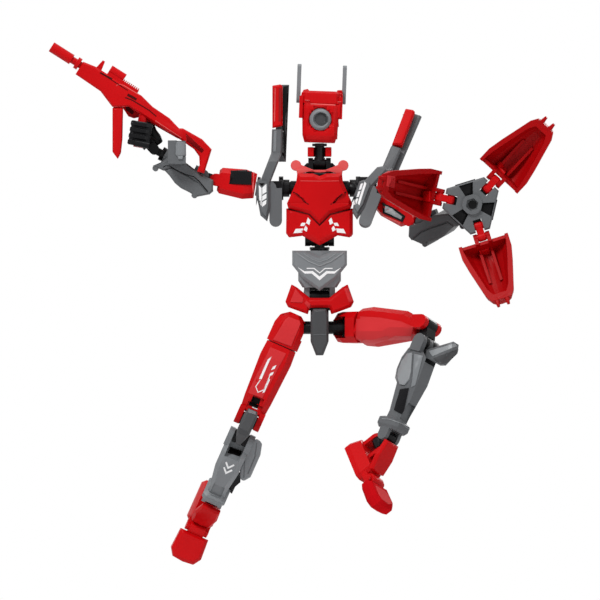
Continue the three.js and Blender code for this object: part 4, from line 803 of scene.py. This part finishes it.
# Right thigh and knee: flat lit faces, slanted stripes and a fine line on them, and the knee window
rightThighPlates = {
    "thigh_cap_face_right": {
        "on": "thigh_cap_right", "look": "softRedPlastic", "height": 0.3, "edge": 0.16,
        "outline": [(-10.7, -35.6), (-9.6, -34.7), (-6.2, -36), (-5.9, -36.9), (-8.8, -43.8),
                    (-14.4, -41.7)],
    },
    "thigh_face_right": {
        "on": "thigh_shell_right", "look": "softRedPlastic", "height": 0.12, "edge": 0.05,
        "outline": [(-15.2, -44), (-10.3, -46), (-17.7, -59.8), (-22, -58.1)],
    },
    "thigh_circuit_right": {
        "on": "thigh_face_right", "look": "whiteInk", "width": 0.26,
        "line": [(-18.3, -54.1), (-19.7, -56.2), (-19, -57.9), (-17.2, -57.2), (-15.3, -52.7)],
    },
    "thigh_window_right": {
        "on": "thigh_shell_right", "look": "seamShadow", "height": 0.16, "step": 0.45,
        "outline": [(-20.7, -59.1), (-18.2, -60.1), (-19.2, -63), (-21.9, -61.9)],
    },
    "thigh_window_edge_right": {
        "on": "thigh_shell_right", "look": "whiteInk", "height": 0.08, "width": 0.3,
        "line": [(-20.8, -62.5), (-19.2, -63.2)],
    },
    # a kneecap facet in painted highlight grey
    "kneecap_facet_right": {
        "on": "kneecap_right", "look": "midGreyPlastic", "height": 0.08, "step": 0.5,
        "outline": [(-21.9, -63.2), (-19.7, -64.1), (-19.7, -65), (-22.2, -64.2)],
    },
}
thighBars = {
    "a": [(-14.8, -46.9), (-16, -47.8), (-18.7, -53.8), (-17.9, -53.9), (-15.7, -48.8)],
    "b": [(-13.3, -49.5), (-14.4, -50), (-15, -51.1), (-13.8, -50.6)],
    "c": [(-14.1, -51.6), (-15.2, -52), (-15.7, -53), (-14.6, -52.6)],
    "d": [(-15.2, -53.8), (-15.9, -54.1), (-17.7, -58.2), (-17, -57.9)],
}
rightKneeSlabs = {
    "knee_core_right": {
        "body": "thigh_right", "look": "blackPlastic", "depths": (-7, -6),
        "outline": [(-23.9, -63.4), (-22.5, -60.3), (-16.9, -62.9), (-18.2, -65.9)],
    },
}
layPlates(rightThighPlates)
for key, bar in thighBars.items():
    layPlate("thigh_bar_right_" + key, "thigh_face_right", bar, "whiteInk")
makeSlabs(rightKneeSlabs)

# Right shin: the notch below the kneecap, two white chevrons, the calf block and the recess under it
chevronSetup = {"line": [(-28.9, -79.6), (-28.3, -81.4), (-26.4, -80.5)], "width": 0.5,
                "places": {"a": (0, 0), "b": (-0.6448, -1.612)}}
calfSetup = {"leanFrom": -72.2, "lean": -1.135, "blockDepths": (-6.6, -2.2), "blockEdge": 0.7,
             "recessDepths": (-3.8, -2.4), "lineWidth": 0.2, "lineHeight": 0.08}
calfOutline = [(-22.5, -76.6), (-21.4, -74.1), (-20.1, -72.4), (-18.6, -72.7), (-17.8, -74.1),
               (-18.3, -77.5), (-21.4, -84.5), (-23.7, -85.9), (-24.8, -84.9), (-24.7, -82.4)]
calfRecess = [(-25.6, -82.2), (-24.5, -83.4), (-24.6, -86.2), (-26.2, -87.6), (-27.3, -89.9),
              (-29, -88.3)]
calfLines = {
    "front": [(-21.4, -74.7), (-23.2, -79), (-23.5, -84.6)],
    "side": [(-19.4, -73.6), (-20, -78.1), (-22.2, -83.4)],
}
rightShinPlates = {
    "shin_slot_floor_right": {
        "on": "shin_shell_right", "look": "seamShadow", "height": 0.08, "step": 0.45,
        "outline": [(-27.6, -75), (-23.9, -76.1), (-24.8, -78), (-28.5, -76.8)],
    },
}


# The shin leans back as it goes down, so what is drawn for it leans too
def leanBack(block):
    lean = Matrix.Identity(4)
    lean[1][2] = calfSetup["lean"]
    top = Matrix.Translation((0, 0, calfSetup["leanFrom"] * mm))
    block.data.transform(top @ lean @ top.inverted())


layPlates(rightShinPlates)
for key, (across, up) in chevronSetup["places"].items():
    chevron = [(x + across, z + up) for x, z in chevronSetup["line"]]
    layPlate("shin_chevron_right_" + key, "shin_shell_right", band(chevron, chevronSetup["width"]),
             "whiteInk")
leanBack(makeSlab("calf_block_right", "shin_right", calfOutline, calfSetup["blockDepths"],
                  "midGreyPlastic", calfSetup["blockEdge"]))
for key, line in calfLines.items():
    layPlate("calf_line_right_" + key, "calf_block_right", band(line, calfSetup["lineWidth"]),
             "greyPlastic", height=calfSetup["lineHeight"])
leanBack(makeSlab("calf_recess_right", "shin_right", calfRecess, calfSetup["recessDepths"], "blackPlastic"))
print("right leg dressed")

# Left leg: the thigh's flat side, the calf plate and the cuff's rim in painted highlight, lit facets and a
# kneecap side in painted shade, the shin's recess, the toe's lit top and a foot core in painted shade
leftLegPlates = {
    "thigh_side_left": {
        "on": "thigh_shell_left", "look": "softRedPlastic", "height": 0.3, "edge": 0.16, "step": 1.2,
        "outline": [(9.9, -34.5), (18.8, -35), (25, -36.1), (28.9, -37.7), (28.1, -41.3), (20.4, -41.5),
                    (17.1, -42.6), (10.7, -43.2)],
    },
    "kneecap_facet_left": {
        "on": "kneecap_left", "look": "paleGreyPlastic", "height": 0.1, "step": 0.6,
        "outline": [(33.6, -45.1), (37.7, -43.9), (41.2, -42.7), (41.9, -43.6), (38.6, -45), (34.6, -46.8)],
    },
    # the kneecap's side in painted shade grey
    "kneecap_side_left": {
        "on": "kneecap_left", "look": "darkGreyPlastic", "height": 0.1, "step": 0.6,
        "outline": [(34.9, -47.4), (38.9, -45.6), (42.3, -44.5), (42, -45.8), (39.2, -48.5), (37, -49.1)],
    },
    "calf_plate_left": {
        "on": "shin_shell_left", "look": "paleGreyPlastic", "height": 0.5, "edge": 0.22,
        "outline": [(27.3, -46), (28.6, -45.8), (28.2, -51.5), (27.6, -53.9), (26.2, -55.6), (24.8, -55.4),
                    (24.2, -53.5), (24.5, -51.1), (25.3, -48.7)],
    },
    # a shin facet in painted highlight grey
    "shin_facet_left": {
        "on": "shin_shell_left", "look": "midGreyPlastic", "height": 0.2, "edge": 0.1,
        "outline": [(29.1, -46), (31.6, -46.6), (29.3, -55.5), (27.9, -56.2), (28.6, -51.8)],
    },
    "shin_recess_left": {
        "on": "shin_shell_left", "look": "blackPlastic", "height": 0.32, "edge": 0.06, "step": 0.5,
        "outline": [(24.8, -56.9), (27.3, -56.4), (25.8, -63.4), (25.1, -64.4), (22.9, -63.2)],
    },
    "cuff_rim_left": {
        "on": "shin_shell_left", "look": "paleGreyPlastic", "height": 0.08, "step": 0.5, "width": 0.22,
        "line": [(19.1, -65.8), (21.5, -66), (25, -67.2), (27.4, -69.1)],
    },
    "toe_top_left": {
        "on": "toe_left", "look": "litToePlastic", "height": 0.12, "edge": 0.05, "step": 0.6,
        "outline": [(16.9, -86.2), (19.7, -87.9), (20.8, -89.1), (22, -91.9), (20.9, -91.9), (18.9, -90.3),
                    (17.8, -88.7)],
    },
}
leftFootSlabs = {
    # a core in painted shade red
    "foot_core_left": {
        "body": "foot_left", "look": "deepRedPlastic", "depths": (-31, -30),
        "outline": [(13.2, -72.8), (18, -74.7), (16.9, -79.7), (14.4, -77.8)],
    },
}
layPlates(leftLegPlates)
makeSlabs(leftFootSlabs)
print("left leg dressed")


# Stage, all in metres: a pale floor below the leaping figure, seen only from above
floorSetup = {"height": -0.141, "size": 0.9, "colour": (0.86, 0.86, 0.87, 1), "roughness": 0.8}


def makeFloor():
    bpy.ops.mesh.primitive_plane_add(size=floorSetup["size"], location=(0, 0, floorSetup["height"]))
    floor = bpy.context.object
    floor.name = "floor"
    material, tree, shader = newMaterial("paleFloor")
    shader.inputs["Base Color"].default_value = floorSetup["colour"]
    shader.inputs["Roughness"].default_value = floorSetup["roughness"]
    floor.data.materials.append(material)


# A white world: full strength where the camera or a gloss sees it, and dimmer as a light
worldSetup = {"ambient": 0.2, "shown": 1}


def largerOf(tree, first, second):
    larger = tree.nodes.new("ShaderNodeMath")
    larger.operation = "MAXIMUM"
    tree.links.new(first, larger.inputs[0])
    tree.links.new(second, larger.inputs[1])
    return larger.outputs["Value"]


def makeWorld():
    world = bpy.data.worlds.new("studio")
    bpy.context.scene.world = world
    world.use_nodes = True
    tree = world.node_tree
    background = tree.nodes["Background"]
    background.inputs["Color"].default_value = (1, 1, 1, 1)
    rays = tree.nodes.new("ShaderNodeLightPath").outputs
    seen = largerOf(tree, rays["Is Camera Ray"], rays["Is Glossy Ray"])
    through = largerOf(tree, seen, rays["Is Transmission Ray"])
    level = tree.nodes.new("ShaderNodeMapRange")
    level.inputs["To Min"].default_value = worldSetup["ambient"]
    level.inputs["To Max"].default_value = worldSetup["shown"]
    tree.links.new(through, level.inputs["Value"])
    tree.links.new(level.outputs["Result"], background.inputs["Strength"])


# Lamps: soft discs, with their power in watts, turned towards the figure's middle
lampSetup = {
    "key": {"place": (-0.45, -0.8, 0.8), "size": 0.45, "power": 10.5},
    "fill": {"place": (0.75, -0.9, 0.05), "size": 0.9, "power": 2.6},
    "top": {"place": (0.1, -0.1, 1), "size": 0.6, "power": 3.6},
    "rim": {"place": (0.5, 0.8, 0.4), "size": 0.5, "power": 3},
}
lampAim = Vector((0, 0, -0.02))


def makeLamps():
    for name, lamp in lampSetup.items():
        bpy.ops.object.light_add(type="AREA", location=lamp["place"])
        light = bpy.context.object
        light.name = name + "Lamp"
        light.data.shape = "DISK"
        light.data.size = lamp["size"]
        light.data.energy = lamp["power"]
        light.rotation_euler = (lampAim - light.location).to_track_quat("-Z", "Y").to_euler()


# Camera: level with the figure, straight at its front, from far enough to keep its parts in proportion
cameraSetup = {"distance": 3, "middle": (-0.00605, -0.02945), "width": 0.186, "sensor": 36, "clipEnd": 20}


def makeCamera():
    x, z = cameraSetup["middle"]
    bpy.ops.object.camera_add(location=(x, -cameraSetup["distance"], z), rotation=(math.pi / 2, 0, 0))
    camera = bpy.context.object
    camera.data.sensor_width = cameraSetup["sensor"]
    camera.data.lens = cameraSetup["sensor"] * cameraSetup["distance"] / cameraSetup["width"]
    camera.data.clip_end = cameraSetup["clipEnd"]
    bpy.context.scene.camera = camera


makeFloor()
makeWorld()
makeLamps()
makeCamera()
bpy.context.scene.view_settings.view_transform = "Standard"
print("stage ready")
